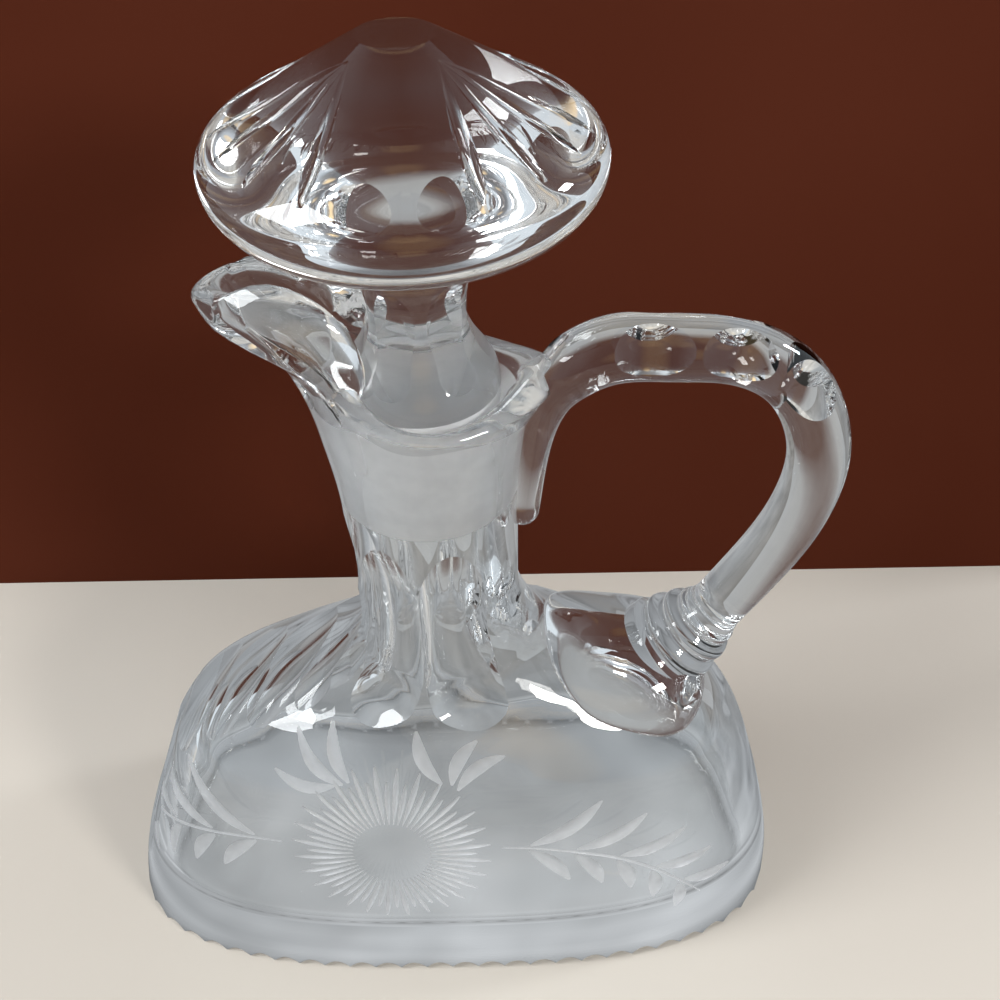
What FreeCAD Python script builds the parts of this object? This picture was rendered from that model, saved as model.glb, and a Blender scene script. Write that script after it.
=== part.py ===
"""Crystal carafe: a flattened cut-glass flask with a pouring lip, a fused handle and a ground stopper.

Frame, in millimetres: the origin is on the resting face below the neck's axis, +Z is up,
+X points to the handle, -X to the pouring spout, and the engraved front faces -Y.
"""
import FreeCAD, Part
import math
import os

Vec = FreeCAD.Vector

# Body, wider than it is deep. Half sizes are measured from the neck's axis, and each height
# is stacked on the one below it. Pairs give the spout's side and then the handle's side.
BASE_HALF_WIDTH = 61.5
BASE_HALF_DEPTH = 28.0
FOOT_HEIGHT = 8.0
FOOT_DRAW_INS = (1.6, 0.6)
FOOT_THINNING = 0.3
FLANK_RISE = 20.0
FLANK_DRAW_INS = (6.5, 4.7)
FLANK_THINNING = 1.7
SIDE_RISE = 16.0
SIDE_DRAW_INS = (7.2, 6.0)
SIDE_THINNING = 3.6
TURN_RISE = 8.0
TURN_DRAW_INS = (10.8, 7.6)
TURN_THINNING = 3.3
SHOULDER_RISE = 6.5
SHOULDER_DRAW_INS = (12.8, 12.6)
SHOULDER_THINNING = 2.9
NECK_FOOT_RISE = 7.5
NECK_FOOT_SPREADS = (1.6, 4.2)
NECK_FOOT_BULGE = 0.8
WAIST_RISE = 12.0
BASE_SQUARENESS = 2.8
SIDE_SQUARENESS = 2.55
SHOULDER_SQUARENESS = 2.2
ROUND = 2.0
LIP_MID_SQUARENESS = 1.75
LIP_TOP_SQUARENESS = 1.8

# Ground fit between neck and stopper: both cones come from these values.
FIT_RADIUS = 10.8
FIT_TAPER = 0.05
FIT_LENGTH = 19.5
FIT_CLEARANCE = 0.12
PLUG_LENGTH = 18.2
PLUG_END_CHAMFER = 0.6

# Glass thickness.
WALL = 4.2
SHOULDER_WALL = 3.0
NECK_WALL = 2.0
FLOOR_THICKNESS = 9.0
FLOOR_CORNER = 6.0

# Neck and lip: the rim is low at the front and back, and drawn out to a spout at -X and to the handle at +X.
NECK_RISE = 15.0
LIP_FLARE_RISE = 15.0
LIP_RISE = 26.0
FLARE_SPOUT_SIDE = 1.6
FLARE_HEEL_SIDE = 1.2
FLARE_DEPTH = 0.6
SPOUT_OVERHANG = 16.7
HEEL_OVERHANG = 10.2
LIP_SPREAD = 1.6
LIP_MID_SHARE = 0.42
LIP_TIP_SHARE = 0.64
LIP_MID_PINCH = 0.3
SPOUT_PINCH = 0.5
SPOUT_MID_SHARE = 0.33
SPOUT_TIP_SHARE = 0.83
HEEL_MID_SHARE = 0.78
LIP_WALL = 2.2
SPOUT_WALL = 3.4
LIP_LIFT = 2.2
LIP_BLEND = 8.0
LIP_FLARE_STEP = 0.5
RIM_ABOVE_FLARE = 7.0
SPOUT_RISE = 15.5
HEEL_RISE = 4.5
RIM_LOW_OFFSET = 3.0
SPOUT_NOSE = 5.0
SPOUT_NOSE_DROP = 7.0

# Stopper above the fit.
PLUG_SHOULDER_RISE = 7.2
PLUG_EDGE_TURN = 0.3
STEM_RADIUS = 6.7
STEM_RISE = 12.0
HEAD_RADIUS = 23.4
HEAD_UNDERSIDE_RISE = 24.0
HEAD_RIM_RISE = 31.8
CONE_EDGE_RADIUS = 14.5
CONE_EDGE_RISE = 7.4
TABLE_RADIUS = 4.5
TABLE_RISE = 5.8
STEM_FACETS = 6
STEM_TURN = 8.0
STEM_FACET_DEPTH = 0.6
STEM_WHEEL_RADIUS = 12.5

# Mitre cuts on the stopper's head: fans of long V grooves, with plain panels between.
FAN_COUNT = 4
FAN_START_RADIUS = 6.5
FAN_END_RADIUS = 21.3
FAN_END_ANGLES = (-20.0, 1.0, 20.0, 36.0)
MITRE_DEPTH = 0.8
MITRE_HALF_ANGLE = 52.0
MITRE_WEDGE_HEIGHT = 6.0

# Neck flutes, each cut by a round wheel that leaves the glass at the flute's end.
NECK_FLUTES = 8
NECK_FLUTE_TURN = -8.0
NECK_FLUTE_DEPTH = 2.2
NECK_FLUTE_RISE = 2.5
NECK_FLUTE_DROP = 22.0
NECK_PLAIN_ANGLE = 50.0

# Flutes that run aslant across the narrow side below the spout.
SIDE_FLUTES = 7
SIDE_FLUTE_PITCH = 10.0
SIDE_FLUTE_FIRST = 4.5
SIDE_FLUTE_SLANT = 27.0
SIDE_FLUTE_DEPTH = 1.9
SIDE_FLUTE_RADIUS = 7.5

# Notches along the lower edge.
EDGE_NOTCH_PITCH = 4.8
EDGE_NOTCH_RADIUS = 4.0
EDGE_NOTCH_DEPTH = 1.2
EDGE_NOTCH_TILT = 25.0

# Handle: a round rod fused to the lip and to a thick pad on the shoulder.
HANDLE_RADIUS = 4.5
HANDLE_START = 5.7
HANDLE_OVERHANG = 42.8
HANDLE_DROP = 22.2
HANDLE_ROOT_X = 36.0
HANDLE_ROOT_SINK = 2.6
THUMB_CUTS = 3
THUMB_PITCH = 10.8
THUMB_FIRST = 11.9
THUMB_TILT = 27.0
THUMB_WHEEL_RADIUS = 11.0
THUMB_DEPTH = 1.5
COLLAR_FLARE = 1.9
COLLAR_LENGTH = 15.0
PAD_CENTRE_X = 30.0
PAD_HALF_LENGTH = 15.0
PAD_HALF_WIDTH = 14.0
PAD_HALF_THICKNESS = 7.4
PAD_SINK = 1.0
TAIL_LENGTH = 27.2
TAIL_HALF_WIDTH = 4.6
TAIL_THICKNESS = 4.0
TAIL_TIP_THICKNESS = 1.2

SECTION_POINTS = 40
SECTION_STEP = 4.0


def smooth_through(knots, height):
    """Value at a height of the smooth curve through (height, value) knots, with no overshoot."""
    xs = [knot[0] for knot in knots]
    ys = [knot[1] for knot in knots]
    if height <= xs[0]:
        return ys[0]
    if height >= xs[-1]:
        return ys[-1]
    slopes = [(ys[i + 1] - ys[i]) / (xs[i + 1] - xs[i]) for i in range(len(xs) - 1)]
    tangents = [slopes[0]]
    for before, after in zip(slopes, slopes[1:]):
        tangents.append(0.0 if before * after <= 0 else 2 * before * after / (before + after))
    tangents.append(slopes[-1])
    i = max(k for k in range(len(slopes)) if xs[k] <= height)
    step = xs[i + 1] - xs[i]
    t = (height - xs[i]) / step
    rise = 3 * t * t - 2 * t ** 3
    lead = t ** 3 - 2 * t * t + t
    trail = t ** 3 - t * t
    return (1 - rise) * ys[i] + rise * ys[i + 1] + step * (lead * tangents[i] + trail * tangents[i + 1])


FLANK_HEIGHT = FOOT_HEIGHT + FLANK_RISE
SIDE_HEIGHT = FLANK_HEIGHT + SIDE_RISE
TURN_HEIGHT = SIDE_HEIGHT + TURN_RISE
SHOULDER_HEIGHT = TURN_HEIGHT + SHOULDER_RISE
NECK_FOOT_HEIGHT = SHOULDER_HEIGHT + NECK_FOOT_RISE
WAIST_HEIGHT = NECK_FOOT_HEIGHT + WAIST_RISE
LIP_ROOT_HEIGHT = WAIST_HEIGHT + NECK_RISE
LIP_FLARE_HEIGHT = LIP_ROOT_HEIGHT + LIP_FLARE_RISE
LIP_TOP_HEIGHT = LIP_FLARE_HEIGHT + LIP_RISE
LIP_MID_HEIGHT = LIP_FLARE_HEIGHT + LIP_MID_SHARE * LIP_RISE
LIP_TIP_HEIGHT = LIP_FLARE_HEIGHT + LIP_TIP_SHARE * LIP_RISE
FIT_TOP_HEIGHT = LIP_FLARE_HEIGHT + RIM_ABOVE_FLARE
STEM_MID_HEIGHT = FIT_TOP_HEIGHT + STEM_RISE
HEAD_UNDERSIDE_HEIGHT = FIT_TOP_HEIGHT + HEAD_UNDERSIDE_RISE
HEAD_RIM_HEIGHT = FIT_TOP_HEIGHT + HEAD_RIM_RISE
CONE_EDGE_HEIGHT = HEAD_RIM_HEIGHT + CONE_EDGE_RISE
STOPPER_HEIGHT = CONE_EDGE_HEIGHT + TABLE_RISE
RIM_LOW_HEIGHT = FIT_TOP_HEIGHT
RIM_SPOUT_HEIGHT = RIM_LOW_HEIGHT + SPOUT_RISE
RIM_HEEL_HEIGHT = RIM_LOW_HEIGHT + HEEL_RISE
HANDLE_TOP_HEIGHT = RIM_HEEL_HEIGHT - 0.3
NECK_FLUTE_MIDDLE = WAIST_HEIGHT + NECK_FLUTE_RISE

FOOT_HALF_DEPTH = BASE_HALF_DEPTH - FOOT_THINNING
FLANK_HALF_DEPTH = FOOT_HALF_DEPTH - FLANK_THINNING
SIDE_HALF_DEPTH = FLANK_HALF_DEPTH - SIDE_THINNING
TURN_HALF_DEPTH = SIDE_HALF_DEPTH - TURN_THINNING
SHOULDER_HALF_DEPTH = TURN_HALF_DEPTH - SHOULDER_THINNING

NECK_RADIUS = FIT_RADIUS + NECK_WALL
SPOUT_REACH = NECK_RADIUS + SPOUT_OVERHANG
HEEL_REACH = NECK_RADIUS + HEEL_OVERHANG
LIP_HALF_DEPTH = NECK_RADIUS + LIP_SPREAD
SPOUT_MID_REACH = NECK_RADIUS + SPOUT_MID_SHARE * SPOUT_OVERHANG
SPOUT_TIP_REACH = NECK_RADIUS + SPOUT_TIP_SHARE * SPOUT_OVERHANG
HEEL_MID_REACH = NECK_RADIUS + HEEL_MID_SHARE * HEEL_OVERHANG


def body_reaches(side):
    """(height, reach) knots of the body and neck on the spout's side (0) or the handle's side (1)."""
    foot = BASE_HALF_WIDTH - FOOT_DRAW_INS[side]
    flank = foot - FLANK_DRAW_INS[side]
    narrow = flank - SIDE_DRAW_INS[side]
    turn = narrow - TURN_DRAW_INS[side]
    return [
        (0.0, BASE_HALF_WIDTH),
        (FOOT_HEIGHT, foot),
        (FLANK_HEIGHT, flank),
        (SIDE_HEIGHT, narrow),
        (TURN_HEIGHT, turn),
        (SHOULDER_HEIGHT, turn - SHOULDER_DRAW_INS[side]),
        (NECK_FOOT_HEIGHT, NECK_RADIUS + NECK_FOOT_SPREADS[side]),
        (WAIST_HEIGHT, NECK_RADIUS),
        (LIP_ROOT_HEIGHT, NECK_RADIUS),
    ]


LEFT_REACHES = body_reaches(0) + [
    (LIP_FLARE_HEIGHT, NECK_RADIUS + FLARE_SPOUT_SIDE),
    (LIP_MID_HEIGHT, SPOUT_MID_REACH),
    (LIP_TIP_HEIGHT, SPOUT_TIP_REACH),
    (LIP_TOP_HEIGHT, SPOUT_REACH),
]
RIGHT_REACHES = body_reaches(1) + [
    (LIP_FLARE_HEIGHT, NECK_RADIUS + FLARE_HEEL_SIDE),
    (LIP_MID_HEIGHT, HEEL_MID_REACH),
    (LIP_TOP_HEIGHT, HEEL_REACH),
]
DEPTHS = [
    (0.0, BASE_HALF_DEPTH),
    (FOOT_HEIGHT, FOOT_HALF_DEPTH),
    (FLANK_HEIGHT, FLANK_HALF_DEPTH),
    (SIDE_HEIGHT, SIDE_HALF_DEPTH),
    (TURN_HEIGHT, TURN_HALF_DEPTH),
    (SHOULDER_HEIGHT, SHOULDER_HALF_DEPTH),
    (NECK_FOOT_HEIGHT, NECK_RADIUS + NECK_FOOT_BULGE),
    (WAIST_HEIGHT, NECK_RADIUS),
    (LIP_ROOT_HEIGHT, NECK_RADIUS),
    (LIP_FLARE_HEIGHT, NECK_RADIUS + FLARE_DEPTH),
    (LIP_TOP_HEIGHT, LIP_HALF_DEPTH),
]
SQUARENESSES = [
    (0.0, BASE_SQUARENESS),
    (SIDE_HEIGHT, SIDE_SQUARENESS),
    (SHOULDER_HEIGHT, SHOULDER_SQUARENESS),
    (WAIST_HEIGHT, ROUND),
    (LIP_FLARE_HEIGHT, ROUND),
    (LIP_MID_HEIGHT, LIP_MID_SQUARENESS),
    (LIP_TOP_HEIGHT, LIP_TOP_SQUARENESS),
]
PINCHES = [(LIP_FLARE_HEIGHT, 0.0), (LIP_MID_HEIGHT, LIP_MID_PINCH), (LIP_TOP_HEIGHT, SPOUT_PINCH)]


def outline(height, left, right, depth, squareness, pinch):
    """Closed smooth wire at a height, reaching left, right and depth from the neck's axis."""
    points = []
    for i in range(SECTION_POINTS):
        angle = 2 * math.pi * i / SECTION_POINTS
        across, along = math.cos(angle), math.sin(angle)
        scale = (abs(across) ** squareness + abs(along) ** squareness) ** (-1 / squareness)
        reach = right if across > 0 else left
        narrowing = 1 - pinch * across ** 2
        points.append(Vec(scale * reach * across, scale * depth * along * narrowing, height))
    curve = Part.BSplineCurve()
    parameters = [i / SECTION_POINTS for i in range(SECTION_POINTS + 1)]
    curve.interpolate(Points=points, PeriodicFlag=True, Parameters=parameters)
    return Part.Wire([curve.toShape()])


def outer_sizes(height):
    """Left reach, right reach, half depth, squareness and pinch of the outside at a height."""
    return tuple(smooth_through(knots, height)
                 for knots in (LEFT_REACHES, RIGHT_REACHES, DEPTHS, SQUARENESSES, PINCHES))


def heights_between(low, high, step=SECTION_STEP):
    count = max(2, math.ceil((high - low) / step))
    return [low + (high - low) * i / count for i in range(count + 1)]


def loft(wires):
    return Part.makeLoft(wires, True, False)


def outside():
    """The blown shape as a full solid, up past the highest point of the rim."""
    return loft([outline(height, *outer_sizes(height)) for height in heights_between(0.0, LIP_TOP_HEIGHT)])


def body_cavity():
    """The hollow of the body and the throat, from the floor to the ground fit."""
    top = FIT_TOP_HEIGHT - FIT_LENGTH
    low_corner = heights_between(FLOOR_THICKNESS, FLOOR_THICKNESS + FLOOR_CORNER, FLOOR_CORNER / 4)
    above = heights_between(FLOOR_THICKNESS + FLOOR_CORNER, top)[1:]
    wires = []
    for height in low_corner + above:
        left, right, depth, squareness, _ = outer_sizes(height + SHOULDER_WALL)
        below_corner = max(0.0, 1 - (height - FLOOR_THICKNESS) / FLOOR_CORNER)
        inset = WALL + FLOOR_CORNER * (1 - math.sqrt(1 - below_corner ** 2))
        wires.append(outline(height, left - inset, right - inset, depth - inset, squareness, 0.0))
    return loft(wires)


def fit_radius(height):
    """Radius of the ground bore at a height."""
    return FIT_RADIUS - FIT_TAPER * (FIT_TOP_HEIGHT - height)


def ground_bore():
    """The conical ground seat for the stopper."""
    low = FIT_TOP_HEIGHT - FIT_LENGTH
    high = FIT_TOP_HEIGHT + LIP_WALL
    return Part.makeCone(fit_radius(low), fit_radius(high), high - low, Vec(0, 0, low))


def lip_funnel():
    """The open space inside the flared lip."""
    wires = []
    for height in heights_between(LIP_FLARE_HEIGHT, LIP_TOP_HEIGHT + 1.0, 3.0):
        left, right, depth, squareness, pinch = outer_sizes(height - LIP_LIFT)
        bore = fit_radius(height) - LIP_FLARE_STEP
        share = min(1.0, (height - LIP_FLARE_HEIGHT) / LIP_BLEND)
        inner = (left - SPOUT_WALL, right - LIP_WALL, depth - LIP_WALL)
        sizes = [bore + (size - bore) * share for size in inner]
        wires.append(outline(height, *sizes, squareness, pinch))
    return loft(wires)


def above_rim():
    """Everything over the saddle-shaped rim: low near the axis, rising to the spout and the handle."""
    margin = 12.0
    far_left, far_right = -SPOUT_REACH - margin, HEEL_REACH + margin
    points = [
        Vec(far_left, 0, RIM_SPOUT_HEIGHT - 3 * SPOUT_NOSE_DROP),
        Vec(SPOUT_NOSE - SPOUT_REACH - 3.0, 0, RIM_SPOUT_HEIGHT - 0.4 * SPOUT_NOSE_DROP),
        Vec(SPOUT_NOSE - SPOUT_REACH + 1.5, 0, RIM_SPOUT_HEIGHT),
        Vec(-NECK_RADIUS, 0, (RIM_LOW_HEIGHT + RIM_SPOUT_HEIGHT) / 2),
        Vec(RIM_LOW_OFFSET, 0, RIM_LOW_HEIGHT),
        Vec(HEEL_REACH, 0, RIM_HEEL_HEIGHT),
        Vec(far_right, 0, RIM_HEEL_HEIGHT + 1.0),
    ]
    curve = Part.BSplineCurve()
    curve.interpolate(points)
    over = LIP_TOP_HEIGHT + margin
    corners = [points[-1], Vec(far_right, 0, over), Vec(far_left, 0, over), points[0]]
    edges = [curve.toShape()] + [Part.makeLine(a, b) for a, b in zip(corners, corners[1:])]
    face = Part.Face(Part.Wire(edges))
    face.translate(Vec(0, -2 * LIP_HALF_DEPTH, 0))
    return face.extrude(Vec(0, 4 * LIP_HALF_DEPTH, 0))


def neck_flutes():
    """Round wheels that hollow the neck and run out on the shoulder, all but those beside the handle."""
    left, _, depth, squareness, _ = outer_sizes(NECK_FLUTE_MIDDLE - NECK_FLUTE_DROP)
    cutters = []
    for i in range(NECK_FLUTES):
        turn = 360.0 / NECK_FLUTES * (i + 0.5) + NECK_FLUTE_TURN
        from_handle = abs((turn + 180) % 360 - 180)
        if from_handle < NECK_PLAIN_ANGLE:
            continue
        angle = math.radians(turn)
        across, along = math.cos(angle), math.sin(angle)
        shoulder = (abs(across / left) ** squareness + abs(along / depth) ** squareness) ** (-1 / squareness)
        outward = shoulder - (NECK_RADIUS - NECK_FLUTE_DEPTH)
        radius = (NECK_FLUTE_DROP ** 2 + outward ** 2) / (2 * outward)
        distance = NECK_RADIUS - NECK_FLUTE_DEPTH + radius
        cutters.append(Part.makeSphere(radius, Vec(distance * across, distance * along, NECK_FLUTE_MIDDLE)))
    return cutters


def left_profile():
    """Points of the narrow side below the spout, in the XZ plane, from the neck's foot downward."""
    heights = heights_between(FOOT_HEIGHT, NECK_FOOT_HEIGHT, 0.5)[::-1]
    return [Vec(-smooth_through(LEFT_REACHES, height), 0, height) for height in heights]


def side_flutes():
    """Rods laid aslant across the narrow side, at even steps along its outline."""
    profile = left_profile()
    wanted = [SIDE_FLUTE_FIRST + SIDE_FLUTE_PITCH * i for i in range(SIDE_FLUTES)]
    cutters = []
    travelled = 0.0
    for here, there in zip(profile, profile[1:]):
        step = there.sub(here)
        if wanted and travelled <= wanted[0] < travelled + step.Length:
            wanted.pop(0)
            upward = step.multiply(-1.0).normalize()
            normal = upward.cross(Vec(0, 1, 0)).normalize()
            if normal.x > 0:
                normal = normal.multiply(-1.0)
            slant = math.radians(SIDE_FLUTE_SLANT)
            direction = Vec(0, math.cos(slant), 0) + upward * math.sin(slant)
            middle = here + normal * (SIDE_FLUTE_RADIUS - SIDE_FLUTE_DEPTH)
            length = 4 * BASE_HALF_DEPTH
            start = middle - direction * (length / 2)
            cutters.append(Part.makeCylinder(SIDE_FLUTE_RADIUS, length, start, direction))
            travelled += there.sub(here).Length
        else:
            travelled += step.Length
    return cutters


def edge_notches():
    """Short rods tilted across the lower edge, at even steps all round it."""
    edge = outline(0.0, BASE_HALF_WIDTH, BASE_HALF_WIDTH, BASE_HALF_DEPTH, BASE_SQUARENESS, 0.0).Edges[0]
    count = 2 * round(edge.Length / EDGE_NOTCH_PITCH / 2)
    tilt = math.radians(EDGE_NOTCH_TILT)
    cutters = []
    for i in range(count):
        parameter = edge.getParameterByLength(edge.Length * (i + 0.5) / count)
        point = edge.valueAt(parameter)
        tangent = edge.tangentAt(parameter)
        outward = Vec(tangent.y, -tangent.x, 0)
        if outward.dot(point) < 0:
            outward = outward.multiply(-1.0)
        across = outward * math.sin(tilt) + Vec(0, 0, math.cos(tilt))
        away = outward * math.cos(tilt) - Vec(0, 0, math.sin(tilt))
        middle = point + away * (EDGE_NOTCH_RADIUS - EDGE_NOTCH_DEPTH)
        start = middle - across * (2 * EDGE_NOTCH_RADIUS)
        cutters.append(Part.makeCylinder(EDGE_NOTCH_RADIUS, 4 * EDGE_NOTCH_RADIUS, start, across))
    return cutters


def right_height(reach):
    """Height at which the right side of the body has this reach."""
    low, high = SIDE_HEIGHT, WAIST_HEIGHT
    for _ in range(40):
        middle = (low + high) / 2
        if smooth_through(RIGHT_REACHES, middle) > reach:
            low = middle
        else:
            high = middle
    return low


def handle_path():
    """Centre line of the handle, from inside the lip, over and down to the shoulder pad."""
    start = NECK_RADIUS + HANDLE_START
    reach = NECK_RADIUS + HANDLE_OVERHANG
    bend = HANDLE_TOP_HEIGHT - HANDLE_DROP
    points = [
        Vec(start, 0, HANDLE_TOP_HEIGHT - 2.2),
        Vec(start + 8.0, 0, HANDLE_TOP_HEIGHT),
        Vec(reach - 14.0, 0, HANDLE_TOP_HEIGHT - 0.6),
        Vec(reach - 3.4, 0, bend + 13.0),
        Vec(reach, 0, bend),
        Vec(reach - 5.2, 0, bend - 17.5),
        Vec(HANDLE_ROOT_X, 0, right_height(HANDLE_ROOT_X) - HANDLE_ROOT_SINK),
    ]
    curve = Part.BSplineCurve()
    curve.interpolate(points)
    return curve.toShape()


def handle_rod(path):
    start = path.valueAt(path.FirstParameter)
    direction = path.tangentAt(path.FirstParameter)
    profile = Part.Wire(Part.makeCircle(HANDLE_RADIUS, start, direction))
    return Part.Wire(path).makePipeShell([profile], True, False)


def thumb_cuts(path):
    """Wheels that press ovals into the front and the back of the handle's upper arm."""
    cutters = []
    tilt = math.radians(THUMB_TILT)
    for i in range(THUMB_CUTS):
        parameter = path.getParameterByLength(THUMB_FIRST + THUMB_PITCH * i)
        tangent = path.tangentAt(parameter)
        over = Vec(-tangent.z, 0, tangent.x)
        for side in (-1, 1):
            outward = Vec(0, side * math.cos(tilt), 0) + over * math.sin(tilt)
            distance = HANDLE_RADIUS - THUMB_DEPTH + THUMB_WHEEL_RADIUS
            axis = tangent.cross(outward)
            start = path.valueAt(parameter) + outward * distance - axis * (3 * HANDLE_RADIUS)
            cutters.append(Part.makeCylinder(THUMB_WHEEL_RADIUS, 6 * HANDLE_RADIUS, start, axis))
    return cutters


def shoulder_pad():
    """The flattened gather of glass that joins the handle to the shoulder."""
    height = right_height(PAD_CENTRE_X)
    fall = right_height(PAD_CENTRE_X + 5.0) - right_height(PAD_CENTRE_X - 5.0)
    slope = math.degrees(math.atan2(fall, 10.0))
    stretch = FreeCAD.Matrix()
    stretch.scale(PAD_HALF_LENGTH, PAD_HALF_WIDTH, PAD_HALF_THICKNESS)
    pad = Part.makeSphere(1.0).transformGeometry(stretch)
    pad.rotate(Vec(0, 0, 0), Vec(0, 1, 0), -slope)
    pad.translate(Vec(PAD_CENTRE_X, 0, height - PAD_SINK))
    return pad


def handle_collar(path):
    """The rod's widened foot, where it stands on the pad."""
    foot = path.valueAt(path.LastParameter)
    upward = path.tangentAt(path.LastParameter) * -1.0
    return Part.makeCone(HANDLE_RADIUS + COLLAR_FLARE, HANDLE_RADIUS - 0.05, COLLAR_LENGTH, foot, upward)


def handle_tail():
    """The drawn-out end of the handle, laid down the neck below the lip."""
    top = HANDLE_TOP_HEIGHT - 2.0
    wires = []
    for i in range(5):
        share = i / 4
        height = top - TAIL_LENGTH * share
        half_width = TAIL_HALF_WIDTH * (1 - 0.5 * share ** 2)
        half_thickness = TAIL_THICKNESS + (TAIL_TIP_THICKNESS - TAIL_THICKNESS) * share
        centre = smooth_through(RIGHT_REACHES, height) + 0.4 * half_thickness
        stretch = FreeCAD.Matrix()
        stretch.scale(half_thickness, half_width, 1.0)
        wire = Part.Wire(Part.makeCircle(1.0)).transformGeometry(stretch)
        wire.translate(Vec(centre, 0, height))
        wires.append(wire)
    return loft(wires)


def make_vessel():
    """The hollow body with its lip, handle and cut decoration: one piece of glass."""
    path = handle_path()
    glass = outside().cut(above_rim())
    notches = edge_notches()
    # Neighbouring notches overlap, so every other one is cut first.
    glass = glass.cut(notches[::2]).cut(notches[1::2])
    glass = glass.cut(side_flutes())
    glass = glass.cut(neck_flutes())
    rod = handle_rod(path).cut(thumb_cuts(path))
    glass = glass.fuse([shoulder_pad(), handle_collar(path), rod, handle_tail()])
    hollow = body_cavity().fuse([ground_bore(), lip_funnel()])
    return glass.cut(hollow)


def stopper_profile():
    """Half outline of the stopper in the XZ plane, from the table at the top to the plug's end."""
    plug_radius = FIT_RADIUS - FIT_CLEARANCE
    plug_end = FIT_TOP_HEIGHT - PLUG_LENGTH
    end_radius = plug_radius - FIT_TAPER * PLUG_LENGTH
    axis_top = Vec(0, 0, STOPPER_HEIGHT)
    table = Vec(TABLE_RADIUS, 0, STOPPER_HEIGHT)
    cone_edge = Vec(CONE_EDGE_RADIUS, 0, CONE_EDGE_HEIGHT)
    rim = Vec(HEAD_RADIUS, 0, HEAD_RIM_HEIGHT)
    stem = Vec(STEM_RADIUS, 0, STEM_MID_HEIGHT)
    shoulder = Vec(plug_radius - 1.6, 0, FIT_TOP_HEIGHT + PLUG_SHOULDER_RISE * 0.6)
    fit_top = Vec(plug_radius, 0, FIT_TOP_HEIGHT)
    fit_end = Vec(end_radius, 0, plug_end + PLUG_END_CHAMFER)
    end_edge = Vec(end_radius - PLUG_END_CHAMFER, 0, plug_end)
    axis_end = Vec(0, 0, plug_end)
    crown = Part.BSplineCurve()
    crown.interpolate(Points=[cone_edge, Vec(HEAD_RADIUS - 2.4, 0, HEAD_RIM_HEIGHT + 3.3), rim],
                      InitialTangent=cone_edge - table, FinalTangent=Vec(0, 0, -8))
    under = Part.BSplineCurve()
    under.interpolate(
        Points=[rim,
                Vec(HEAD_RADIUS - 2.2, 0, HEAD_RIM_HEIGHT - 4.9),
                Vec(HEAD_RADIUS - 5.4, 0, HEAD_RIM_HEIGHT - 6.8),
                Vec(STEM_RADIUS + 6.9, 0, HEAD_UNDERSIDE_HEIGHT - 0.5),
                Vec(STEM_RADIUS + 2.9, 0, HEAD_UNDERSIDE_HEIGHT - 2.8),
                Vec(STEM_RADIUS + 0.8, 0, HEAD_UNDERSIDE_HEIGHT - 6.0),
                stem,
                Vec(STEM_RADIUS + 0.7, 0, FIT_TOP_HEIGHT + PLUG_SHOULDER_RISE),
                shoulder,
                fit_top],
        InitialTangent=Vec(0, 0, -8), FinalTangent=Vec(PLUG_EDGE_TURN, 0, -1))
    corners = [fit_top, fit_end, end_edge, axis_end, axis_top, table, cone_edge]
    edges = [Part.makeLine(a, b) for a, b in zip(corners, corners[1:])]
    edges += [crown.toShape(), under.toShape()]
    return Part.Face(Part.Wire(Part.sortEdges(edges)[0]))


def stem_wheels():
    """Wheels that cut the flat panels of the stem."""
    cutters = []
    for i in range(STEM_FACETS):
        angle = 2 * math.pi * (i + 0.5) / STEM_FACETS + math.radians(STEM_TURN)
        distance = STEM_RADIUS - STEM_FACET_DEPTH + STEM_WHEEL_RADIUS
        tangent = Vec(-math.sin(angle), math.cos(angle), 0)
        centre = Vec(distance * math.cos(angle), distance * math.sin(angle), STEM_MID_HEIGHT)
        start = centre - tangent * (2 * STEM_RADIUS)
        cutters.append(Part.makeCylinder(STEM_WHEEL_RADIUS, 4 * STEM_RADIUS, start, tangent))
    return cutters


def head_height(radius):
    """Height of the head's upper side at a distance from the axis."""
    return smooth_through([
        (0.0, STOPPER_HEIGHT),
        (TABLE_RADIUS, STOPPER_HEIGHT),
        (CONE_EDGE_RADIUS, CONE_EDGE_HEIGHT),
        (HEAD_RADIUS - 2.4, HEAD_RIM_HEIGHT + 3.3),
        (HEAD_RADIUS, HEAD_RIM_HEIGHT),
    ], radius)


def mitre_wedge(start, end):
    """A wedge whose sharp edge starts on the head's surface and sinks into it towards the rim."""
    run = (end - start).normalize()
    aside = Vec(0, 0, 1).cross(run).normalize()
    upward = run.cross(aside)
    half_width = MITRE_WEDGE_HEIGHT * math.tan(math.radians(MITRE_HALF_ANGLE))
    top = end + upward * MITRE_WEDGE_HEIGHT
    corners = [start, end, top + aside * half_width, top - aside * half_width]
    faces = []
    for left_out in range(4):
        ring = [corner for i, corner in enumerate(corners) if i != left_out]
        faces.append(Part.Face(Part.makePolygon(ring + ring[:1])))
    return Part.makeSolid(Part.makeShell(faces))


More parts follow.
